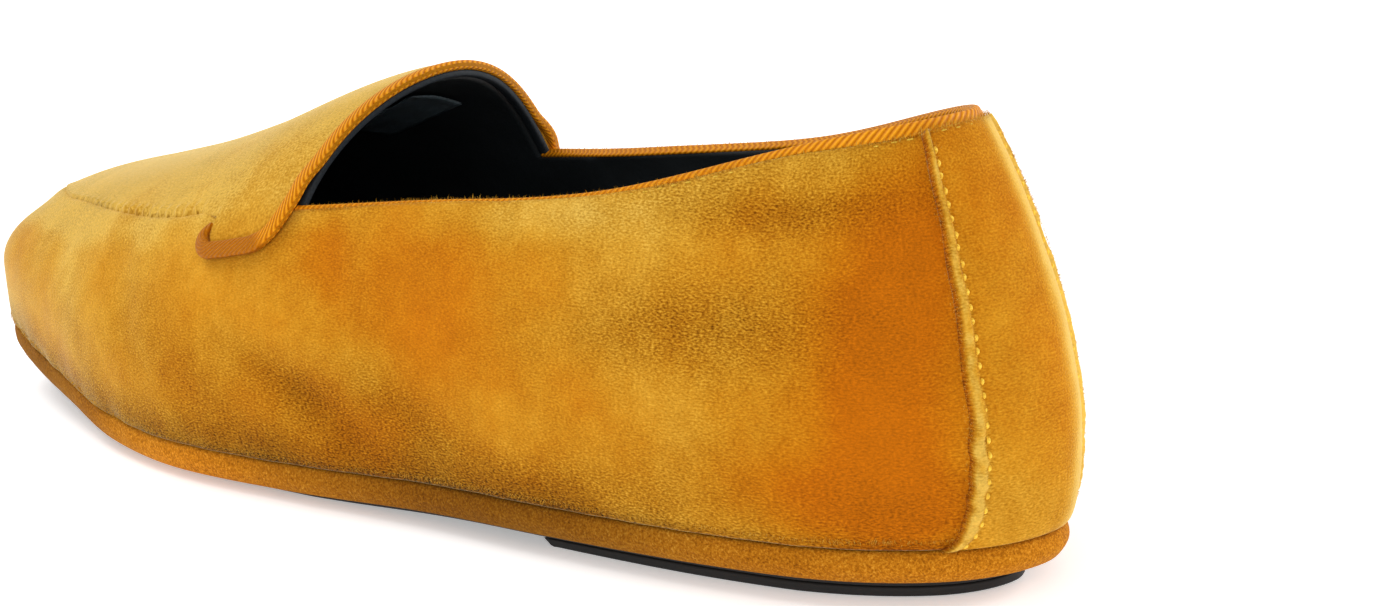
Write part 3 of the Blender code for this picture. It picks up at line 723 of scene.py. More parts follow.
def patches(table, column, t, angle, point):
    """Sum of a table's soft patches at points of the sides, each worth its value in a column."""
    total = np.zeros(point.shape[:-1])
    low = step_up(-angle, -62.0, 12.0)
    for row in table:
        side, x, z, lean, length, width = row[:6]
        turn = np.radians(lean)
        aside, over = point[..., 0] - x, point[..., 2] - z
        along = aside * np.cos(turn) + over * np.sin(turn)
        across = over * np.cos(turn) - aside * np.sin(turn)
        total += row[column] * bell(along, length) * bell(across, width) * (np.sign(t) == side) * low
    return total


def nap_and_painted_light_steps(column, angle, along):
    """Sum of the steps in the pile's tone and its painted sheen and shade, each worth its value in a column.
    """
    return sum(row[column] * step_up(row[0] * angle, row[1], row[2]) * step_up(along, row[3], row[4])
               for row in NAP_AND_PAINTED_LIGHT_STEPS)


def distance_to(path, point):
    """Distance from each point to the nearest point of a path."""
    flat = point.reshape(-1, 3)
    near = np.full(len(flat), np.inf)
    for start in range(0, len(path), 50):
        gap = flat[:, None] - path[None, start:start + 50]
        near = np.minimum(near, np.sqrt((gap**2).sum(-1)).min(axis=1))
    return near.reshape(point.shape[:-1])


def seam_swell(t, angle, point):
    """Swell of the velvet along the moccasin seam: wide on the vamp's side, narrow on the plug's."""
    seam_t, seam_angle = seam_path(160)
    path = np.concatenate([surface(seam_t, seam_angle), surface(-seam_t, seam_angle)])
    away = distance_to(path, point)
    below = np.abs(angle) < np.interp(np.abs(t), seam_t, seam_angle)
    grown = step_up(np.abs(t), APRON_SEAM[0, 0] - SWELL_START, SWELL_START)
    return SEAM_SWELL * np.where(below, bell(away, SWELL_BELOW), bell(away, SWELL_ABOVE)) * grown


def relief(t, angle):
    """How far the velvet stands off the last's surface."""
    point = surface(t, angle)
    height = patches(CREASES, 6, t, angle, point) + waves(point, SIDE_WAVES)
    height += seam_swell(t, angle, point)
    return height + step_up(-angle, 30.0, 40.0) * waves(point, FOOT_WAVES)


def nap(t, angle):
    """How the pile lies: gold from 0, deep orange, to 1, pale, partly painted sheen; and light, a share more
    or less, mostly painted shade and painted light.
    """
    point = surface(t, angle)
    along = point[..., 0] / LENGTH
    gold = 0.50 + patches(NAP_AND_PAINTED_LIGHT_PATCHES, 6, t, angle, point) + waves(point, GOLD_WAVES)
    gold += nap_and_painted_light_steps(5, angle, along)
    # painted shade in the creases and painted light on the ridges beside them, with a little random
    # unevenness
    light = patches(NAP_AND_PAINTED_LIGHT_PATCHES, 7, t, angle, point) + waves(point, LIGHT_WAVES)
    # painted shade low on the sides and along the feather edge
    light += nap_and_painted_light_steps(6, angle, along)
    return np.stack([gold, light], -1)


def last_origin():
    """Place of the last's zero in the frame, read off the insole's solid."""
    low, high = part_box("insole")
    ring = sole_ring(INSOLE_INSET, feather_height, SOLID_STATIONS)
    aside = (low[1] + high[1] - ring[:, 1].min() - ring[:, 1].max()) / 2
    return np.array([low[0] - INSOLE_INSET, aside, 0.0])


def sole_ring(inset, height, stations, share=1.0):
    """A ring at an inset from the feather line; share 0 is the spine and 1 the full reach."""
    hub_x, hub_y, way_x, way_y, reach = spoke(closed_line(np.linspace(0, 1, stations + 1)))
    out = (reach - inset) * share
    x, y = hub_x + way_x * out, hub_y + way_y * out
    return np.stack([x, y, height(x)], -1)


ORIGIN = last_origin()


def grid_faces(rows, columns, start=0, closed=False):
    """Faces between neighbouring points of a grid of rows by columns."""
    last = columns if closed else columns - 1
    row, column = np.meshgrid(np.arange(rows - 1), np.arange(last), indexing="ij")
    beside = (column + 1) % columns
    a, b = start + row * columns + column, start + row * columns + beside
    return np.stack([a, b, b + columns, a + columns], -1).reshape(-1, 4)


def grid_rim(rows, columns):
    """The points round a grid's edge, ending where they start."""
    far_side = [row * columns + columns - 1 for row in range(1, rows)]
    last_row = [(rows - 1) * columns + column for column in range(columns - 2, -1, -1)]
    near_side = [row * columns for row in range(rows - 2, -1, -1)]
    return list(range(columns)) + far_side + last_row + near_side


def sheet_faces(skin, rims, size):
    """Faces of a sheet of some thickness: its skin, its underside and a wall along each rim."""
    walls = []
    for rim in map(np.array, rims):
        walls.append(np.stack([rim[:-1], rim[1:], rim[1:] + size, rim[:-1] + size], -1))
    return np.concatenate([skin, skin[:, ::-1] + size] + walls)


def both_skins(top, bottom):
    """Points of a sheet's skin, then those of its underside."""
    return np.concatenate([top.reshape(-1, 3), bottom.reshape(-1, 3)])


def make(name, points, faces, paints, node=None, weave=None, lean=None, which=None):
    """One piece from points in the last's place, with its cloth coordinates and paints."""
    mesh = bpy.data.meshes.new(name)
    mesh.from_pydata((points + ORIGIN).tolist(), [], [list(face) for face in faces])
    corner = np.empty(len(mesh.loops), np.int32)
    mesh.loops.foreach_get("vertex_index", corner)
    if weave is not None:
        layer = mesh.uv_layers.new(name="weave")
        layer.data.foreach_set("uv", weave[corner].astype(np.float32).ravel())
    if lean is not None:
        for column, layer_name in enumerate(("gold", "light")):
            layer = mesh.attributes.new(layer_name, "FLOAT", "POINT")
            layer.data.foreach_set("value", lean[:, column].astype(np.float32))
    for paint in paints:
        mesh.materials.append(paint)
    if which is not None:
        mesh.polygons.foreach_set("material_index", which.astype(np.int32))
    shape = bmesh.new()
    shape.from_mesh(mesh)
    bmesh.ops.remove_doubles(shape, verts=shape.verts, dist=1e-6)
    bmesh.ops.recalc_face_normals(shape, faces=shape.faces)
    shape.to_mesh(mesh)
    shape.free()
    mesh.shade_smooth()
    piece = bpy.data.objects.new(name, mesh)
    bpy.context.scene.collection.objects.link(piece)
    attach(piece, "root")
    if node:
        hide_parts(node)
    return piece


def upper_chart():
    """Stations and angles of the upper: side rows all round, then the vamp's rows to the ridge."""
    rim_t = float(girth_of(THROAT_PLACE + BINDING_SEAT))
    quarter = np.linspace(0, rim_t, QUARTER_STATIONS + 1)
    vamp = np.linspace(rim_t, 1, VAMP_STATIONS + 1)[1:]
    stations = closed_line(np.concatenate([quarter, vamp]))
    rim = collar_angle(stations, collar_reach(stations) - BINDING_LAP)
    corner = float(collar_angle(np.array([rim_t]), collar_reach(rim_t) - BINDING_LAP)[0])
    rim = np.where(np.abs(stations) > rim_t - 1e-9, corner, rim)
    tuck = np.linspace(-88.0, 0.0, TUCK_ROWS + 1)[:, None] + 0 * rim
    side = np.linspace(0, 1, SIDE_ROWS + 1)[1:, None] * rim
    crown = stations[QUARTER_STATIONS:QUARTER_STATIONS + 2 * VAMP_STATIONS + 1]
    top = np.linspace(corner, 90, VAMP_ROWS + 1)[1:, None] + 0 * crown
    side = np.concatenate([tuck, side])
    return stations + 0 * side, side, crown + 0 * top, top


def cloth_coordinates(t, angle):
    """Distance round the foot and distance up the side, for the weave of the velvet."""
    line = np.linspace(0, 1, 400)
    x, y = feather_line(line)
    run = run_along(np.stack([x, y], -1))
    return np.stack([np.interp(np.abs(t), line, run), surface(t, angle)[..., 2]], -1)


def upper_rows(rows, around, crown, top_rows):
    """Rows of points across the vamp's top: the side rows' last, then those up to the ridge."""
    join = (rows - 1) * around + QUARTER_STATIONS + np.arange(crown)
    return [join] + [rows * around + row * crown + np.arange(crown) for row in range(top_rows)]


def upper_faces(rows, around, tops, size):
    """Faces of the upper, and 1 for each that the lining covers: the inside and both rims."""
    side = grid_faces(rows, around, closed=True)
    vamp = [np.stack([low[:-1], low[1:], high[1:], high[:-1]], -1) for low, high in zip(tops, tops[1:])]
    skin = np.concatenate([side] + vamp)
    ends = np.arange(QUARTER_STATIONS + 2 * VAMP_STATIONS, around + QUARTER_STATIONS + 1) % around
    back = list((rows - 1) * around + ends)[1:-1]
    collar = [row[-1] for row in tops[::-1]] + back + [row[0] for row in tops]
    faces = sheet_faces(skin, (collar, list(range(around)) + [0]), size)
    return faces, (np.arange(len(faces)) >= len(skin)).astype(float)


def upper(velvet, lining):
    """Vamp and quarters: velvet outside, lining inside, open at the collar and underneath."""
    side_t, side_angle, top_t, top_angle = upper_chart()
    t = np.concatenate([side_t.ravel(), top_t.ravel()])
    angle = np.concatenate([side_angle.ravel(), top_angle.ravel()])
    outer = offset(t, angle, relief(t, angle))
    inner = offset(t, angle, lining_relief(t, angle) - WALL)
    tops = upper_rows(*side_t.shape, top_t.shape[1], len(top_t))
    faces, which = upper_faces(*side_t.shape, tops, len(t))
    weave = np.tile(cloth_coordinates(t, angle), (2, 1))
    lean = np.tile(nap(t, angle), (2, 1))
    return make("upper_velvet", both_skins(outer, inner), faces, (velvet, lining), "upper",
                weave, lean, which)


def lining_relief(t, angle):
    """Small forms of the lining, inwards: its seam beside the throat and slack leather."""
    point = surface(t, angle)
    seam_x = LINING_SEAM_PLACE - (point[..., 2] - 0.04) * LINING_SEAM_SLANT
    seam = bell(point[..., 0] - seam_x, LINING_SEAM_WIDTH)
    return -LINING_SEAM_DEPTH * seam - LINING_SLACK * (1 + waves(point, LINING_WAVES))


def never_back(t):
    """Stations of a path again, each a little before the next, so that no two columns cross."""
    steps = COLUMN_STEP * np.arange(len(t))
    return np.minimum.accumulate((t - steps)[::-1])[::-1] + steps


def apron_edge():
    """Edge of the outer half of the plug, from the throat round the tab and along the seam.

    With each point come its angle, 1 where it is sewn, and its distance along the seam.
    """
    tab_t, tab_angle = resample(*tab_outline(), APRON_TAB_STATIONS)
    tab_t, tab_angle = shift_chart(tab_t, tab_angle, np.full(len(tab_t), BINDING_WIDTH * 0.6))
    keep = (tab_angle < CORNER_ANGLE) & (tab_angle < APRON_SEAM[0, 1])
    tab_t, tab_angle = never_back(tab_t[keep]), tab_angle[keep]
    seam_t, seam_angle = seam_path(APRON_SEAM_STATIONS)
    bridge_t = np.linspace(tab_t[-1], seam_t[0], BRIDGE_STATIONS)[1:-1]
    bridge_angle = np.linspace(tab_angle[-1], seam_angle[0], BRIDGE_STATIONS)[1:-1]
    t = np.concatenate([[apron_rim()], tab_t, bridge_t, seam_t])
    angle = np.concatenate([[CORNER_ANGLE + 3.0], tab_angle, bridge_angle, seam_angle])
    free = len(t) - len(seam_t)
    sewn = np.concatenate([np.zeros(free), ease(np.arange(len(seam_t)) / 5.0)])
    run = run_along(surface(t, angle))
    return t, angle, sewn, np.maximum(run - run[free], 0.0)


def apron_rim():
    """Share of the half girth at which the plug starts, under the throat's binding."""
    return float(girth_of(THROAT_PLACE + BINDING_WIDTH * 0.7))


def apron_height(point, shares, sewn, seam_run):
    """How far the plug's top stands off the last: a rolled edge, puckered where it is sewn."""
    seat = CLEARANCE + APRON_THICKNESS
    roll = np.sqrt(np.clip(shares / PUCKER_PLACE, 0, 1))
    edge = seat * 0.7 * (1 - sewn) - SHEET_GAP * sewn
    fade = 1 - step_up(seam_run, 0.020, 0.050)
    pucker = PUCKER_HEIGHT * fade * np.sin(2 * np.pi * seam_run / SEAM_PUCKER)
    puff = bell(shares - PUCKER_PLACE, PUCKER_SHARE) * sewn * (PUFF_HEIGHT + pucker)
    return edge + (seat - edge) * roll + puff + waves(point, APRON_WAVES) * ease(shares / 0.3)


def apron_tones(t, angle, point, sewn, seam_run):
    """Tones of the plug's pile, with slanted strokes of painted shade in the puckers along the seam."""
    tones = nap(t, angle)
    inward = distance_inward(point)
    stroke = 0.5 + 0.5 * np.sin(2 * np.pi * (seam_run + STROKE_SLANT * inward) / SEAM_PUCKER)
    shade = bell(inward, STROKE_LENGTH) * (0.25 + 0.75 * stroke**3) * sewn
    # painted shade in the puckers, weaker further along the seam
    tones[..., 1] -= PUCKER_SHADE_DARKNESS * shade * (1 - 0.6 * step_up(seam_run, 0.030, 0.050))
    return tones.reshape(-1, 2)


def apron(velvet):
    """Plug of the moccasin seam, with a tab at each side of the throat."""
    t, angle, sewn, seam_run = both_sides(*apron_edge())
    near_edge = [0.0, 0.008, 0.02, 0.035, 0.05, 0.065, 0.08, 0.1, 0.12]
    shares = np.concatenate([near_edge, np.linspace(0.15, 1.0, 30)])[:, None]
    ridge_t = np.maximum(np.abs(t), apron_rim())
    rows_t = np.sign(t) * (np.abs(t) + (ridge_t - np.abs(t)) * shares)
    rows_angle = angle + (90.0 - angle) * shares
    point = surface(rows_t, rows_angle)
    top = offset(rows_t, rows_angle, apron_height(point, shares, sewn, seam_run))
    bottom = offset(rows_t, rows_angle, np.full(rows_t.shape, SHEET_GAP))
    rows, columns = rows_t.shape
    rim = ([row * columns for row in range(rows - 1, 0, -1)] + list(range(columns))
           + [row * columns + columns - 1 for row in range(1, rows)])
    faces = sheet_faces(grid_faces(rows, columns), (rim,), rows * columns)
    points = both_skins(top, bottom)
    lean = np.tile(apron_tones(rows_t, rows_angle, point, sewn, seam_run), (2, 1))
    return make("apron_velvet", points, faces, (velvet,), "apron", points[:, :2], lean)


def distance_inward(point):
    """Distance of each point of a grid from the grid's first row."""
    steps = np.linalg.norm(np.diff(point, axis=0), axis=-1)
    return np.concatenate([np.zeros((1, point.shape[1])), np.cumsum(steps, axis=0)])


def girth_at_distance(distance):
    """Share of the half girth at a distance from the heel, measured along the feather line."""
    t = np.linspace(0, 0.3, 121)
    x, y = feather_line(t)
    return np.interp(distance, run_along(np.stack([x, y], -1)), t)


def backstay_stitch_line(rise):
    """How far the stitches lie from the heel strip's edge: nearer where it is thin, at the top."""
    return BACKSTAY_FOLD_WIDTH * (0.62 + 0.28 * np.sin(np.pi * rise) + 0.14 * (1 - rise))


def backstay_spread(rise):
    """How far the heel strip reaches to each side."""
    return BACKSTAY_HALF_WIDTH * smooth(BACKSTAY_EDGE, 1, rise)


def backstay_angle(t, rise):
    """Angle of the heel strip's rows, from just over the feather line up to the collar."""
    top = collar_angle(t, collar_reach(t) - BINDING_LAP)
    return -86.0 + (top + 86.0) * rise


def backstay_chart():
    """Chart of the heel strip: t, angle, side, distance in from its edge, and rise."""
    rise = np.linspace(0, 1, BACKSTAY_ROWS)[:, None]
    across = np.linspace(-1, 1, BACKSTAY_COLUMNS)[None]
    across = np.sign(across) * np.abs(across) ** STRIP_CROWDING
    height = rise[..., None] * np.array([0.0, 0.0, BACK_HEIGHT])
    spread = backstay_spread(rise) + STRIP_WOBBLE * waves(height, STRIP_EDGE_WAVES)
    distance = np.abs(across) * spread
    t = np.sign(across) * girth_at_distance(distance)
    return t, backstay_angle(t, rise), across, spread - distance, rise


def backstay_tones(t, across, inside, point, fold, groove):
    """Tones of the heel strip's pile, with painted sheen on the side turned away, painted shade in the sewn
    groove and a painted shadow line along the edge.
    """
    # painted sheen on the side turned away
    far = step_up(-t, 0.004, 0.055)
    foot = step_up(-point[..., 2], -0.035, 0.030)
    gold = STRIP_GOLD["cloth"] + STRIP_GOLD["fold"] * fold + waves(point, STRIP_GOLD_WAVES)
    gold += fold * waves(point, FOLD_GOLD_WAVES) + STRIP_GOLD["foot"] * foot + STRIP_GOLD["far"] * far
    light = STRIP_PAINTED_LIGHT["fold"] * fold + STRIP_PAINTED_LIGHT["groove"] * groove + STRIP_PAINTED_LIGHT["far"] * far
    light += waves(point, STRIP_LIGHT_WAVES) + fold * waves(point, FOLD_LIGHT_WAVES)
    # painted shadow line along the strip's edge, faint on the inner side
    edge = bell(inside, GROOVE_WIDTH) * np.where(across > 0, 1.0, 0.2)
    return np.stack([gold * (1 - edge), light + STRIP_PAINTED_LIGHT["edge"] * edge], -1).reshape(-1, 2)


def backstay(velvet):
    """Strip up the back of the heel: folded edges stand proud, with a sewn groove beside them."""
    t, angle, across, inside, rise = backstay_chart()
    line = backstay_stitch_line(rise)
    fold = bell(np.abs(inside - line * 0.48), line * 0.52, 3)
    groove = bell(inside - line, GROOVE_WIDTH)
    point = surface(t, angle)
    bumps = (1 + waves(point, FOLD_WAVES)) * np.where(across > 0, 1.0, INNER_FOLD)
    height = CLEARANCE + BACKSTAY_THICKNESS + 1.5 * BACKSTAY_FOLD * fold * bumps - GROOVE_DEPTH * groove
    height = height * ease(inside / STRIP_EDGE) + waves(point, STRIP_WAVES)
    top, bottom = offset(t, angle, height), offset(t, angle, np.full(t.shape, -SHEET_GAP))
    faces = sheet_faces(grid_faces(*t.shape), (grid_rim(*t.shape),), t.size)
    weave = np.tile(cloth_coordinates(t, angle).reshape(-1, 2), (2, 1))
    lean = np.tile(backstay_tones(t, across, inside, point, fold, groove), (2, 1))
    return make("backstay_velvet", both_skins(top, bottom), faces, (velvet,), "backstay",
                weave, lean)


def soften(points):
    """A row of points with its small kinks evened out, its two ends kept."""
    window = np.hanning(2 * RIB_STEPS + 3)[1:-1]
    window /= window.sum()
    pad = len(window) // 2
    before, after = 2 * points[:1] - points[pad:0:-1], 2 * points[-1:] - points[-2:-pad - 2:-1]
    full = np.concatenate([before, points, after])
    return np.stack([np.convolve(row, window, "valid") for row in full.T], -1)


def bar_outline():
    """Section of a bar with rounded corners: places across and over its middle, from -1 to 1."""
    turns = (np.arange(BINDING_SIDES) + 0.5) * 2 * np.pi / BINDING_SIDES
    flat, tall = (np.sign(row) * np.abs(row) ** BINDING_SQUARENESS for row in (np.cos(turns), np.sin(turns)))
    return turns, flat, tall


def ribbed_bar(name, t, angle, centre, thickness, width, paint, node, slant, shade):
    """A rounded strip along a path of the surface; its cloth coordinates follow slanted ribs."""
    rough, out = offset(t, angle, centre), normal(t, angle)
    run = run_along(rough)
    count = int(run[-1] / RIB_PITCH * RIB_STEPS)
    at = np.linspace(0, run[-1], count)
    thickness, width, shade = (np.interp(at, run, row) for row in (thickness, width, shade))
    middle, out = (np.stack([np.interp(at, run, row) for row in rows.T], -1) for rows in (rough, out))
    middle = soften(middle)
    way = unit(np.gradient(middle, axis=0))
    aside = unit(np.cross(out, way))
    out = np.cross(way, aside)
    turns, flat, tall = bar_outline()
    across = (width[:, None] / 2 * flat)[..., None] * aside[:, None]
    over = (thickness[:, None] / 2 * tall)[..., None] * out[:, None]
    phase = at[:, None] + slant * width[:, None] / 2 * flat * np.sign(tall)
    points = middle[:, None] + across + over
    weave = np.stack([phase / RIB_PITCH, np.broadcast_to(turns / (2 * np.pi), phase.shape)], -1)
    faces = [tuple(face) for face in grid_faces(count, BINDING_SIDES, closed=True)]
    faces.append(tuple(range(BINDING_SIDES)))
    faces.append(tuple(range(count * BINDING_SIDES - BINDING_SIDES, count * BINDING_SIDES)))
    tones = np.stack([0 * phase, shade[:, None] + 0 * phase], -1)
    return make(name, points.reshape(-1, 3), faces, (paint,), node, weave.reshape(-1, 2),
                tones.reshape(-1, 2))


def collar_binding(twill):
    """Twill strip over the quarters' top edge."""
    end = float(girth_of(THROAT_PLACE + BINDING_WIDTH - 2 * CLEARANCE))
    t = np.linspace(-end, end, COLLAR_STATIONS)
    width = collar_reach(t)
    angle = collar_angle(t, width / 2)
    thickness = np.full(t.shape, WALL + 2 * BINDING_LAP)
    centre = np.full(t.shape, -WALL / 2)
    shade = waves(surface(t, angle), COLLAR_LIGHT_WAVES) - 0.10 * step_up(np.abs(t), 0.2, 0.1)
    return ribbed_bar("collar_twill", t, angle, centre, thickness, width, twill, "collar_binding",
                      COLLAR_RIB_SLANT, shade)


def throat_path():
    """Path of the throat's binding on the outer side: t, angle, and how many points the arch has.

    It runs from the ridge down the arch and round the tab, and stops short of the seam.
    """
    tab_t, tab_angle = resample(*tab_outline(), TAB_STATIONS)
    tab_t, tab_angle = shift_chart(tab_t, tab_angle, np.full(len(tab_t), BINDING_WIDTH / 2))
    throat_t = float(girth_of(THROAT_PLACE + BINDING_WIDTH / 2))
    rise = np.linspace(90.0, CORNER_ANGLE + 2.0, ARCH_STATIONS)
    keep = (tab_angle < CORNER_ANGLE - 2.0) & (tab_angle < APRON_SEAM[0, 1])
    tip = float(girth_of(THROAT_PLACE + 0.89 * TAB_REACH))
    t = np.concatenate([np.full(rise.shape, throat_t), tab_t[keep], [tip]])
    angle = np.concatenate([rise, tab_angle[keep], [APRON_SEAM[0, 1] + 2.5]])
    run = run_along(surface(t, angle))
    bound = run < run[-1] - TAB_LEG_BARE
    return t[bound], angle[bound], len(rise)


def throat_binding(twill):
    """Twill strip round the throat and on round both tabs, broader and with painted shade under them."""
    t, angle, arch = throat_path()
    run = run_along(surface(t, angle))
    on_rim = CLEARANCE + APRON_THICKNESS + BINDING_LAP - THROAT_TWILL_THICKNESS / 2
    on_tab = 2 * CLEARANCE + TAB_BINDING_THICKNESS / 2
    x, _ = feather_line(t)
    under = step_up(x, THROAT_PLACE + 2 * BINDING_WIDTH, BINDING_WIDTH) * (np.arange(len(t)) > arch)
    leg = step_up(run, run[-1] - TAB_LEG, BINDING_WIDTH)
    tip = step_up(run, run[-1] - TAB_LEG / 2, TAB_LEG / 2)
    centre = on_rim + (on_tab - on_rim) * throat_settle(angle, arch) - THROAT_TWILL_THICKNESS * 0.55 * tip
    width = BINDING_WIDTH * (1 + 0.26 * under - 0.60 * leg - 0.20 * tip)
    # painted shade on the binding under the tabs
    rows = (angle, centre, -0.44 * under, width)
    angle, centre, shade, width = (np.concatenate([half[::-1], half[1:]]) for half in rows)
    t = np.concatenate([-t[::-1], t[1:]])
    thickness = np.full(t.shape, THROAT_TWILL_THICKNESS)
    return ribbed_bar("throat_twill", t, angle, centre, thickness, width, twill, "throat_binding",
                      THROAT_RIB_SLANT, shade)


def throat_settle(angle, arch):
    """0 where the throat's binding wraps the rim, and 1 where it lies on the tab."""
    settle = np.clip((CORNER_ANGLE + 12.0 - angle) / 9.0, 0, 1)
    settle[arch:] = 1.0
    return ease(settle)


def lining_edges(lining):
    """The lining's rolled edge, which shows just inside the throat's binding."""
    rise = np.linspace(90.0, CORNER_ANGLE - 1.0, ARCH_STATIONS)
    throat_t = float(girth_of(THROAT_PLACE + BINDING_WIDTH * 0.62))
    t = np.concatenate([np.full(ARCH_STATIONS, -throat_t), np.full(ARCH_STATIONS - 1, throat_t)])
    angle = np.concatenate([rise[::-1], rise[1:]])
    depth = CLEARANCE + APRON_THICKNESS + BINDING_LAP - THROAT_TWILL_THICKNESS
    centre = np.full(t.shape, depth - LINING_EDGE_THICKNESS * 0.42)
    thickness, width = np.full(t.shape, LINING_EDGE_THICKNESS), np.full(t.shape, BINDING_WIDTH * 0.9)
    return ribbed_bar("throat_lining_edge", t, angle, centre, thickness, width, lining, None, 0, 0 * t)


def lofted(name, rings, paint, node, tones=None):
    """A solid from closed rings that starts and ends on the spine."""
    points = np.concatenate(rings)
    faces = grid_faces(len(rings), len(rings[0]), closed=True)
    return make(name, points, faces, (paint,), node, None, tones)


def band_bottom(x):
    """Height of the wrapped band's underside."""
    return feather_height(x) - BAND_HEIGHT


def outsole_top(x):
    """Height of the rubber sole's top."""
    return band_bottom(x) - CLEARANCE


def outsole_bottom(x):
    """Height of the rubber sole's underside, which is never below the floor."""
    return np.maximum(band_bottom(x) - CLEARANCE - OUTSOLE_THICKNESS, 0.0)


def midsole(suede):
    """The suede-wrapped band under the feather line."""
    stations = closed_line(np.linspace(0, 1, SOLE_STATIONS + 1))
    fuller = BAND_OVERHANG * np.clip(1 - np.abs(stations) / BAND_HEEL_SHARE, 0.0, 1.0)
    rings = [sole_ring(0.0, band_bottom, SOLE_STATIONS, share) for share in (0.0, 0.5, 0.9)]
    for step in np.linspace(0, 5, BAND_ROWS):
        inset, rise, swell = (float(smooth(BAND_SIDE, column, step)) for column in (1, 2, 3))

        def level(x, rise=rise):
            return band_bottom(x) + rise * BAND_HEIGHT

        inset = inset * BAND_TUCK - fuller * swell
        uneven = waves(sole_ring(inset, level, SOLE_STATIONS), BAND_WAVES)
        uneven *= min(rise * 4, 1.0) * min((1 - rise) * 4, 1.0)
        rings.append(sole_ring(inset - uneven, level, SOLE_STATIONS))
    rings += [sole_ring(0.0, feather_height, SOLE_STATIONS, share) for share in (0.9, 0.5, 0.0)]
    place, _ = feather_line(stations)
    # painted light and shade along the band
    light = np.tile(smooth(BAND_PAINTED_LIGHT, 1, place / LENGTH), len(rings))
    return lofted("band_suede", rings, suede, "midsole", np.stack([0 * light, light], -1))


def outsole(rubber):
    """Thin rubber sole, set in from the band and pressed flat under the ball."""
    rings = [sole_ring(OUTSOLE_INSET + OUTSOLE_ROUND, outsole_bottom, SOLE_STATIONS, share)
             for share in (0.0, 0.5, 1.0)]
    for turn in np.radians((20.0, 50.0, 80.0)):
        inset = OUTSOLE_INSET + OUTSOLE_ROUND * (1 - np.sin(turn))
        share = 0.5 * (1 - np.cos(turn))

        def level(x, share=share):
            return outsole_bottom(x) + (outsole_top(x) - outsole_bottom(x)) * share

        rings.append(sole_ring(inset, level, SOLE_STATIONS))
    rings += [sole_ring(OUTSOLE_INSET, outsole_top, SOLE_STATIONS, share) for share in (1.0, 0.5, 0.0)]
    return lofted("outsole_rubber", rings, rubber, "outsole")


def heel_lift(rubber):
    """Low rubber lift under the heel, with rounded edges and a sloped front."""
    girth = np.linspace(-float(girth_of(LIFT_LENGTH)), float(girth_of(LIFT_LENGTH)), SOLE_STATIONS)
    hub_x, hub_y, way_x, way_y, reach = spoke(girth)
    profile = (
        # inset past LIFT_INSET, front bevel, share of the height
        (0.0006, LIFT_BEVEL, 0.00),
        (0.0002, LIFT_BEVEL * 0.80, 0.08),
        (0.0, LIFT_BEVEL * 0.62, 0.25),
        (0.0, LIFT_BEVEL * 0.20, 0.75),
        (0.0, 0.0, 1.00),
    )
    rings = []
    for inset, bevel, rise in profile:
        out = reach - LIFT_INSET - inset
        edge = np.stack([hub_x + way_x * out, hub_y + way_y * out], -1)
        edge[:, 0] = np.minimum(edge[:, 0], LIFT_LENGTH - bevel)
        across = np.linspace(0, 1, LIFT_FRONT_STEPS)[1:-1, None]
        plan = np.concatenate([edge, edge[-1] + (edge[0] - edge[-1]) * across])
        height = (outsole_bottom(plan[:, 0]) - CLEARANCE) * rise
        rings.append(np.column_stack([plan, height]))
    middle = np.array([LIFT_LENGTH / 2, 0.0])
    for place, rise in ((0, 0.0), (len(rings) + 1, 1.0)):
        height = (float(outsole_bottom(middle[0])) - CLEARANCE) * rise
        rings.insert(place, np.tile([middle[0], middle[1], height], (len(plan), 1)))
    return lofted("heel_lift_rubber", rings, rubber, "heel_lift")


def insole(lining):
    """Padded sock on the midsole, its edge rounded and its middle a little dished."""
    def bottom(x):
        return feather_height(x) + CLEARANCE

    rings = [sole_ring(INSOLE_INSET, bottom, SOLE_STATIONS, share) for share in (0.0, 0.5, 1.0)]
    for turn in np.radians((15.0, 40.0, 65.0, 90.0)):
        inset = INSOLE_INSET + INSOLE_ROUND * (1 - np.cos(turn))

        def level(x, share=0.4 + 0.6 * np.sin(turn)):
            return bottom(x) + INSOLE_THICKNESS * share

        rings.append(sole_ring(inset, level, SOLE_STATIONS))
    for share in (0.9, 0.75, 0.5, 0.25, 0.0):
        def top(x, share=share):
            return bottom(x) + INSOLE_THICKNESS * (1.0 - INSOLE_DISH * (1 - share**2))

        rings.append(sole_ring(INSOLE_INSET + INSOLE_ROUND, top, SOLE_STATIONS, share))
    return lofted("insole_leather", rings, lining, "insole")


def label(satin):
    """Bare satin patch sewn under the vamp's lining, on the inner side of the throat."""
    low, high = LABEL_ANGLES
    angle = np.linspace(low, high, LABEL_ROWS)[:, None]
    x = THROAT_PLACE + np.linspace(*LABEL_PLACES, LABEL_COLUMNS)[None]
    t = -girth_of(x + LABEL_SKEW * (angle - low) / (high - low))
    angle = angle + 0 * x
    deep = -WALL - LABEL_DEPTH - waves(surface(t, angle), LABEL_WAVES)
    top, bottom = offset(t, angle, deep), offset(t, angle, deep - LABEL_THICKNESS)
    faces = sheet_faces(grid_faces(*t.shape), (grid_rim(*t.shape),), t.size)
    return make("label_patch", both_skins(top, bottom), faces, (satin,))


def thread_rings(start, end, out, move, length, radius, rise):
    """Rings of one stitch: an arch whose two ends sink in the cloth."""
    turns = np.arange(THREAD_SIDES) * 2 * np.pi / THREAD_SIDES
    way = (end - start) / np.linalg.norm(end - start)
    aside = np.cross(out, way)
    middle = (start + end) / 2 + way * move * 2 + aside * move
    rings = []
    for share in np.linspace(-1, 1, THREAD_STEPS):
        centre = middle + way * share * length / 2 + out * (rise * (1 - share**2) - radius * 0.6)
        size = radius * np.sqrt(max(1 - (0.93 * share) ** 2, 0.0))
        rings.append(centre + size * (np.cos(turns)[:, None] * aside + np.sin(turns)[:, None] * out))
    return rings


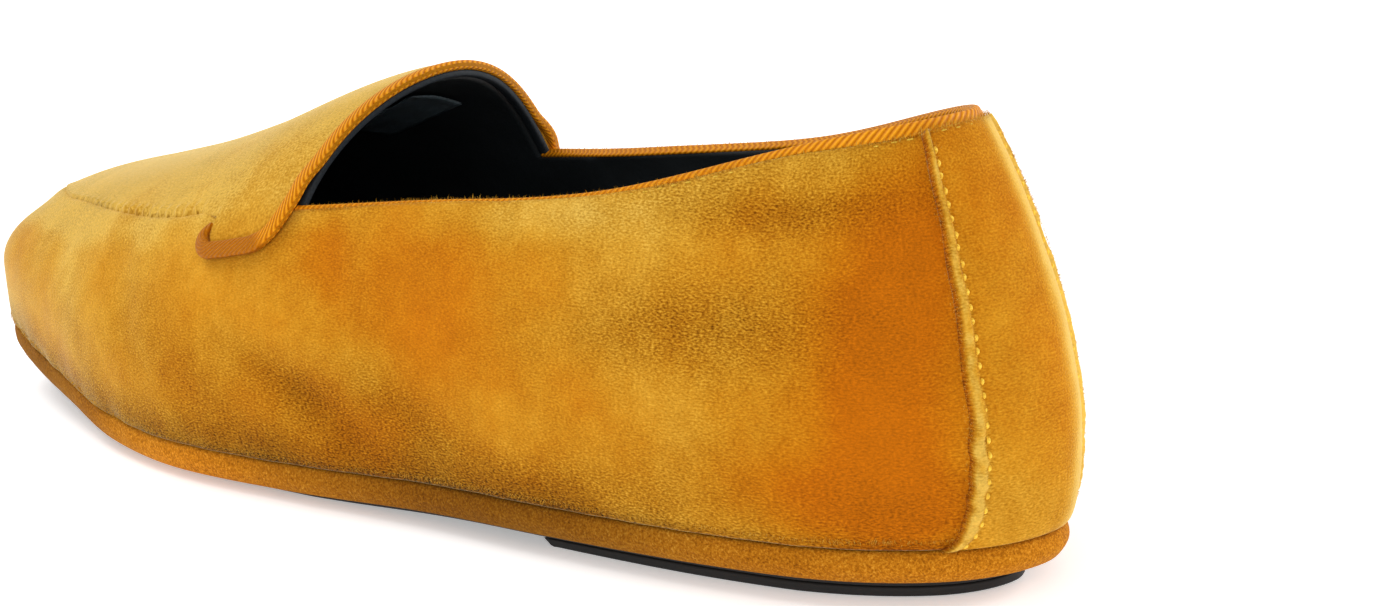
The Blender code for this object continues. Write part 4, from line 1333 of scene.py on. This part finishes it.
def stitches(name, points, outs, length, radius, rise, paint):
    """A thread arch on each pair of neighbouring points, each a little out of line."""
    drift = np.random.default_rng(STITCH_SEED).normal(0, STITCH_DRIFT, len(points) - 1) * length
    rings, faces = [], []
    for start, end, out, move in zip(points[:-1], points[1:], outs[:-1], drift):
        first = len(rings) * THREAD_SIDES
        last = first + (THREAD_STEPS - 1) * THREAD_SIDES
        rings += thread_rings(start, end, out, move, length, radius, rise)
        faces += [tuple(face) for face in grid_faces(THREAD_STEPS, THREAD_SIDES, first, closed=True)]
        faces += [tuple(range(ring, ring + THREAD_SIDES)) for ring in (first, last)]
    return make(name, np.concatenate(rings), faces, (paint,))


def spaced(t, angle, height, pitch):
    """Points a pitch apart along a path of the surface, with their normals."""
    points = offset(t, angle, np.full(t.shape, height))
    run = run_along(points)
    at = np.linspace(0, run[-1], int(run[-1] / pitch) + 1)
    t, angle = np.interp(at, run, t), np.interp(at, run, angle)
    return offset(t, angle, np.full(t.shape, height)), normal(t, angle)


def backstay_stitches(thread):
    """A row of stitches beside each folded edge of the heel strip."""
    rise = np.linspace(0.03, 0.985, 200)
    seat = CLEARANCE + BACKSTAY_THICKNESS - 0.0002
    for side, name in ((1, "outer"), (-1, "inner")):
        t = side * girth_at_distance(backstay_spread(rise) - backstay_stitch_line(rise))
        points, outs = spaced(t, backstay_angle(t, rise), seat, BACKSTAY_STITCH)
        stitches("backstay_stitches_" + name, points, outs, BACKSTAY_STITCH * BACKSTAY_THREAD,
                 BACKSTAY_THREAD_RADIUS, BACKSTAY_THREAD_RISE[name], thread)


def on_strip(t):
    """Height of the heel strip's cloth over the upper at t, none beside the strip."""
    return np.where(np.abs(t) < girth_at_distance(BACKSTAY_HALF_WIDTH), CLEARANCE + BACKSTAY_THICKNESS, 0.0)


def collar_stitches(thread):
    """Short stitches under the collar's binding, at the back."""
    end = float(girth_of(COLLAR_STITCHED))
    t = np.linspace(-end, end, COLLAR_STATIONS)
    angle = collar_angle(t, collar_reach(t) + 0.0005)
    lift = on_strip(t)
    run = run_along(surface(t, angle))
    at = np.linspace(0, run[-1], int(run[-1] / COLLAR_STITCH) + 1)
    t, angle, lift = (np.interp(at, run, row) for row in (t, angle, lift))
    stitches("collar_stitches", offset(t, angle, lift), normal(t, angle), COLLAR_STITCH * COLLAR_THREAD,
             COLLAR_THREAD_RADIUS, COLLAR_THREAD_RISE, thread)


def fringe(name, t, angle, height, way, per_metre, paint, seed, length):
    """Loose fibres of the pile along an edge; way is how far they lean up and outwards."""
    draw = np.random.default_rng(seed)
    run = run_along(offset(t, angle, height))
    count = int(run[-1] * per_metre)
    at = draw.uniform(0, run[-1], count)
    t, angle, height = (np.interp(at, run, row) for row in (t, angle, height))
    root, out = offset(t, angle, height), normal(t, angle)
    along = unit(surface(t + GIRTH_STEP, angle) - surface(t - GIRTH_STEP, angle))
    up = np.cross(out, along)
    up *= np.sign(up[:, 2])[:, None]
    root = root + along * draw.normal(0, FIBRE_SPREAD, (count, 1))
    root = root + up * draw.normal(0, FIBRE_SPREAD / 2, (count, 1))
    lean = unit(up * way[0] + out * way[1] + draw.normal(0, 0.35, (count, 3)))
    tip = root + lean * draw.uniform(0.5, 1.3, (count, 1)) * length
    half = unit(np.cross(lean, draw.normal(size=(count, 3)))) * FIBRE_WIDTH / 2
    points = np.stack([root - half, root + half, tip], 1).reshape(-1, 3)
    faces = np.arange(3 * count).reshape(-1, 3)
    tones = np.stack([np.repeat(draw.uniform(0.55, 1.0, count), 3), np.zeros(3 * count)], -1)
    return make(name, points, faces, (paint,), None, np.zeros((len(points), 2)), tones)


def fringes(velvet):
    """Fibres that stand along the collar, the heel strip's folds and the band."""
    end = float(girth_of(THROAT_PLACE - 0.002))
    t = np.linspace(-end, end, 500)
    angle = collar_angle(t, collar_reach(t))
    fringe("collar_pile", t, angle, on_strip(t), (1.0, 0.45), EDGE_FIBRES, velvet, 61, FIBRE_LENGTH)
    rise = np.linspace(0.01, 0.985, 200)
    for side, name in ((1, "outer"), (-1, "inner")):
        for inside, stand, lean in ((0.0002, 0.0009, -0.2), (0.0010, 0.0014, 0.3)):
            t = side * girth_at_distance(backstay_spread(rise) - inside)
            fringe("fold_pile_%s_%d" % (name, inside * 1e4), t, backstay_angle(t, rise),
                   np.full(t.shape, stand), (lean, 1.0), EDGE_FIBRES, velvet, 62, SHORT_FIBRE_LENGTH)
    t = np.linspace(-0.999, 0.999, 900)
    fringe("foot_pile", t, np.full(t.shape, -62.0), np.full(t.shape, 0.0), (-1.0, 0.5), FOOT_FIBRES,
           velvet, 63, SHORT_FIBRE_LENGTH)


def links(tree, node, **values):
    """Sets or links a node's inputs: spaces in an input's name are written as underscores."""
    for name, value in values.items():
        socket = node.inputs[name.replace("_", " ")]
        if isinstance(value, bpy.types.NodeSocket):
            tree.links.new(value, socket)
        else:
            socket.default_value = value
    return node


def finish_of(name, **values):
    """A new material and its shader, with constant values set on the shader itself."""
    paint = bpy.data.materials.new(name)
    paint.use_nodes = True
    tree = paint.node_tree
    shader = links(tree, tree.nodes["Principled BSDF"], **values)
    return paint, tree, shader


def add(tree, kind, **values):
    """A new node with its inputs set or linked."""
    return links(tree, tree.nodes.new(kind), **values)


def maths(tree, operation, *values):
    """The result of one Math node."""
    node = tree.nodes.new("ShaderNodeMath")
    node.operation = operation
    for socket, value in zip(node.inputs, values):
        if isinstance(value, bpy.types.NodeSocket):
            tree.links.new(value, socket)
        else:
            socket.default_value = value
    return node.outputs[0]


def total(tree, first, *others):
    """The values added up."""
    for other in others:
        first = maths(tree, "ADD", first, other)
    return first


def centred(tree, value, spread):
    """A value between 0 and 1, turned into one that spreads evenly about 0."""
    return maths(tree, "MULTIPLY_ADD", value, spread, -spread / 2)


def noise(tree, place, scale, detail=2.0, roughness=0.5):
    """Noise between 0 and 1 at a place."""
    node = add(tree, "ShaderNodeTexNoise", Vector=place, Scale=scale, Detail=detail, Roughness=roughness)
    return node.outputs["Fac"]


def ramp(tree, value, tones):
    """Colour by value through a table's places and colours."""
    node = add(tree, "ShaderNodeValToRGB", Fac=value)
    spots = node.color_ramp.elements
    for index, (place, *colour) in enumerate((tones[0], tones[-1], *tones[1:-1])):
        spot = spots[index] if index < 2 else spots.new(place)
        spot.position = place
        spot.color = (*colour, 1.0)
    return node.outputs["Color"]


def painted(tree, shader, colour, height, distance, strength):
    """The shader's colour, and a bump as deep as a distance."""
    tree.links.new(colour, shader.inputs["Base Color"])
    node = add(tree, "ShaderNodeBump", Height=height, Distance=distance, Strength=strength)
    tree.links.new(node.outputs["Normal"], shader.inputs["Normal"])


def tinted(tree, colour, bright):
    """A colour made lighter or darker by a number."""
    node = tree.nodes.new("ShaderNodeVectorMath")
    node.operation = "SCALE"
    tree.links.new(colour, node.inputs[0])
    tree.links.new(bright, node.inputs["Scale"])
    return node.outputs[0]


def attribute(tree, name):
    """A number that the mesh holds at each point."""
    node = tree.nodes.new("ShaderNodeAttribute")
    node.attribute_name = name
    return node.outputs["Fac"]


def place_of(tree):
    """The point's place on the shoe, in metres."""
    return tree.nodes.new("ShaderNodeTexCoord").outputs["Object"]


def weave_of(tree):
    """The cloth coordinates, whole and as their two parts."""
    node = tree.nodes.new("ShaderNodeUVMap")
    node.uv_map = "weave"
    parts = add(tree, "ShaderNodeSeparateXYZ", Vector=node.outputs["UV"])
    return node.outputs["UV"], parts.outputs["X"], parts.outputs["Y"]


def velvet_paint():
    """Cotton velvet: brushed nap, the ground weave's short dashes where it is dark, a pale sheen."""
    paint, tree, shader = finish_of(
        "velvet", Roughness=0.85, Sheen_Weight=0.62, Sheen_Roughness=0.26,
        Sheen_Tint=(1.0, 0.84, 0.47, 1.0), Specular_IOR_Level=0.04)
    place = place_of(tree)
    cloth, _, _ = weave_of(tree)
    gold, light = attribute(tree, "gold"), attribute(tree, "light")
    cloud = noise(tree, place, 75.0, 3.0, 0.55)
    mottle = centred(tree, noise(tree, place, 260.0, 2.0, 0.5), 0.24)
    pile = noise(tree, place, 3000.0, 1.0, 0.6)
    stretch = add(tree, "ShaderNodeMapping", Vector=cloth, Scale=(1 / WEAVE_DASH, 1 / WEAVE_ROW, 1.0))
    dash = noise(tree, stretch.outputs["Vector"], 1.0, 1.0, 0.5)
    contrast = maths(tree, "MAXIMUM", maths(tree, "MULTIPLY_ADD", light, -1.8, 0.48), 0.28)
    contrast = maths(tree, "MINIMUM", contrast, 0.92)
    open_pile = maths(tree, "MULTIPLY", maths(tree, "SUBTRACT", dash, 0.5), contrast)
    shaded = maths(tree, "MINIMUM", maths(tree, "MULTIPLY", light, 0.42), 0.0)
    value = total(tree, gold, centred(tree, cloud, 0.36), mottle, open_pile, shaded)
    bright = total(tree, maths(tree, "ADD", light, 1.0), maths(tree, "MULTIPLY", open_pile, 1.7),
                   centred(tree, pile, 0.40), mottle)
    colour = tinted(tree, ramp(tree, value, VELVET_TONES), bright)
    painted(tree, shader, colour, maths(tree, "MULTIPLY_ADD", pile, 0.5, dash), 0.00022, 0.5)
    return paint


def twill_paint():
    """Rayon twill: silky orange ribs with dark gaps between."""
    paint, tree, shader = finish_of("twill", Roughness=0.5, Specular_IOR_Level=0.22,
                                    Specular_Tint=(1.0, 0.62, 0.16, 1.0))
    _, along, _ = weave_of(tree)
    grain = noise(tree, place_of(tree), 2600.0, 2.0, 0.6)
    rib = maths(tree, "COSINE", maths(tree, "MULTIPLY", along, 2 * np.pi))
    # light holds the painted shade under the tabs, which also flattens the ribs there
    light = attribute(tree, "light")
    depth = maths(tree, "MULTIPLY_ADD", light, 0.9, 0.34)
    value = maths(tree, "MULTIPLY_ADD", rib, depth, maths(tree, "MULTIPLY_ADD", light, 0.55, 0.50))
    value = maths(tree, "ADD", value, centred(tree, grain, 0.40))
    colour = tinted(tree, ramp(tree, value, TWILL_TONES), maths(tree, "MULTIPLY_ADD", light, 0.45, 1.0))
    painted(tree, shader, colour, maths(tree, "MULTIPLY_ADD", grain, 0.3, rib), 0.00010, 0.8)
    return paint


def edge_paint():
    """Blue-black cloth of the lining's rolled edge."""
    paint, tree, shader = finish_of("lining_edge", Roughness=0.7, Specular_IOR_Level=0.3)
    grain = noise(tree, place_of(tree), 1800.0, 2.0, 0.6)
    painted(tree, shader, ramp(tree, grain, EDGE_TONES), grain, 0.0001, 0.4)
    return paint


def suede_paint():
    """Napped suede: rough, with pale crumbs over orange brown."""
    paint, tree, shader = finish_of("suede", Roughness=0.9, Sheen_Weight=0.12, Sheen_Roughness=0.4,
                                    Sheen_Tint=(1.0, 0.70, 0.25, 1.0), Specular_IOR_Level=0.05)
    place = place_of(tree)
    cloud = noise(tree, place, 40.0, 2.0, 0.5)
    crumb = noise(tree, place, 2400.0, 2.0, 0.7)
    value = maths(tree, "ADD", maths(tree, "MULTIPLY_ADD", cloud, 0.50, 0.04),
                  maths(tree, "MULTIPLY_ADD", crumb, 1.60, -0.60))
    # light is the band's painted light and shade
    bright = maths(tree, "ADD", attribute(tree, "light"), 1.0)
    painted(tree, shader, tinted(tree, ramp(tree, value, SUEDE_TONES), bright), crumb, 0.0004, 0.7)
    return paint


def rubber_paint():
    """Dull black rubber, a little cloudy."""
    paint, tree, shader = finish_of("rubber", Roughness=0.62, Specular_IOR_Level=0.4)
    place = place_of(tree)
    grain = noise(tree, place, 900.0, 3.0, 0.6)
    cloud = noise(tree, place, 60.0, 2.0)
    value = maths(tree, "ADD", maths(tree, "MULTIPLY", grain, 0.5), maths(tree, "MULTIPLY", cloud, 0.5))
    painted(tree, shader, ramp(tree, value, RUBBER_TONES), grain, 0.00012, 0.5)
    return paint


def leather_paint():
    """Smooth black lining leather with a fine grain."""
    paint, tree, shader = finish_of("lining", Specular_IOR_Level=0.6)
    place = place_of(tree)
    pebble = add(tree, "ShaderNodeTexVoronoi", Vector=place, Scale=1100.0).outputs["Distance"]
    cloud = noise(tree, place, 80.0, 3.0, 0.6)
    tree.links.new(maths(tree, "MULTIPLY_ADD", cloud, 0.2, 0.45), shader.inputs["Roughness"])
    painted(tree, shader, ramp(tree, cloud, LEATHER_TONES), pebble, 0.0001, 0.35)
    return paint


def satin_paint():
    """Dark satin of the bare patch, its threads running across."""
    paint, tree, shader = finish_of("satin", Roughness=0.33, Specular_IOR_Level=0.5)
    stretch = add(tree, "ShaderNodeMapping", Vector=place_of(tree), Scale=(1.0, 8.0, 1.0))
    grain = noise(tree, stretch.outputs["Vector"], 600.0, 2.0)
    painted(tree, shader, ramp(tree, grain, SATIN_TONES), grain, 0.00008, 0.4)
    return paint


def thread_paint(name, bright):
    """Yellow sewing thread with a little twist in its tone."""
    paint, tree, shader = finish_of(name, Roughness=0.5, Specular_IOR_Level=0.15)
    grain = noise(tree, place_of(tree), 3000.0, 1.0)
    tones = [(place, *(bright * part for part in colour)) for place, *colour in THREAD_TONES]
    tree.links.new(ramp(tree, grain, tones), shader.inputs["Base Color"])
    return paint


def floor_paint():
    """White paper floor, lit a little from itself."""
    paint, tree, shader = finish_of("studio_floor", Roughness=0.9, Specular_IOR_Level=0.1,
                                    Emission_Color=(1.0, 1.0, 1.0, 1.0), Emission_Strength=0.35)
    grain = noise(tree, place_of(tree), 3.0, 1.0)
    tree.links.new(ramp(tree, grain, FLOOR_TONES), shader.inputs["Base Color"])
    return paint


def view_axes():
    """The camera's right, up and back ways."""
    azimuth, elevation, roll = np.radians([CAMERA_AZIMUTH, CAMERA_ELEVATION, CAMERA_ROLL])
    level = np.cos(elevation)
    back = np.array([-np.sin(azimuth) * level, np.cos(azimuth) * level, np.sin(elevation)])
    right = np.array([-np.cos(azimuth), -np.sin(azimuth), 0.0])
    up = np.cross(back, right)
    return right * np.cos(roll) + up * np.sin(roll), up * np.cos(roll) - right * np.sin(roll), back


def camera():
    """The view that the proportions were found with."""
    lens = bpy.data.cameras.new("camera")
    lens.sensor_width = SENSOR_WIDTH
    lens.sensor_fit = "HORIZONTAL"
    lens.lens = FOCAL_PIXELS / PHOTO_WIDTH * SENSOR_WIDTH
    lens.clip_start = 0.01
    eye = bpy.data.objects.new("camera", lens)
    right, up, back = view_axes()
    place = np.array(CAMERA_TARGET) + ORIGIN + back * CAMERA_DISTANCE
    eye.matrix_world = placed(np.column_stack([right, up, back]), place)
    bpy.context.scene.collection.objects.link(eye)
    bpy.context.scene.camera = eye


def lamp(name, aside, over, towards, size, power):
    """A square soft light, placed in metres to the right of, above and towards the camera."""
    right, _, back = view_axes()
    level = np.array([back[0], back[1], 0.0]) / np.hypot(back[0], back[1])
    place = right * aside + np.array([0.0, 0.0, 1.0]) * over + level * towards
    light = bpy.data.lights.new(name, "AREA")
    light.size = size
    light.energy = power
    holder = bpy.data.objects.new(name, light)
    aim = unit(-place)
    side = unit(np.cross([0.0, 0.0, 1.0], -aim))
    turn = np.column_stack([side, np.cross(-aim, side), -aim])
    holder.matrix_world = placed(turn, place)
    bpy.context.scene.collection.objects.link(holder)


def placed(turn, place):
    """The matrix of a turn and a place."""
    return Matrix([[*turn[row], place[row]] for row in range(3)] + [[0, 0, 0, 1]])


def studio():
    """Pale floor, white surroundings and soft lights: the main one above, from the toe's side."""
    corners = ((-1, -1), (1, -1), (1, 1), (-1, 1))
    mesh = bpy.data.meshes.new("floor")
    mesh.from_pydata([(x * FLOOR_REACH, y * FLOOR_REACH, 0.0) for x, y in corners], [], [(0, 1, 2, 3)])
    mesh.materials.append(floor_paint())
    floor = bpy.data.objects.new("floor", mesh)
    bpy.context.scene.collection.objects.link(floor)
    world = bpy.data.worlds.new("studio")
    world.use_nodes = True
    background = world.node_tree.nodes["Background"]
    background.inputs["Color"].default_value = (1.0, 1.0, 1.0, 1.0)
    background.inputs["Strength"].default_value = WORLD_STRENGTH
    bpy.context.scene.world = world
    bpy.context.scene.view_settings.view_transform = "Standard"
    for row in LAMPS:
        lamp(*row)


def dress():
    """Every piece of the shoe, its camera and its studio."""
    velvet, twill, lining, rubber, suede = (
        velvet_paint(), twill_paint(), leather_paint(), rubber_paint(), suede_paint())
    thread, dull = thread_paint("thread", 1.0), thread_paint("dull_thread", 0.72)
    camera()
    studio()
    outsole(rubber)
    heel_lift(rubber)
    midsole(suede)
    insole(lining)
    upper(velvet, lining)
    apron(velvet)
    backstay(velvet)
    collar_binding(twill)
    throat_binding(twill)
    lining_edges(edge_paint())
    label(satin_paint())
    backstay_stitches(thread)
    collar_stitches(dull)
    fringes(velvet)


dress()
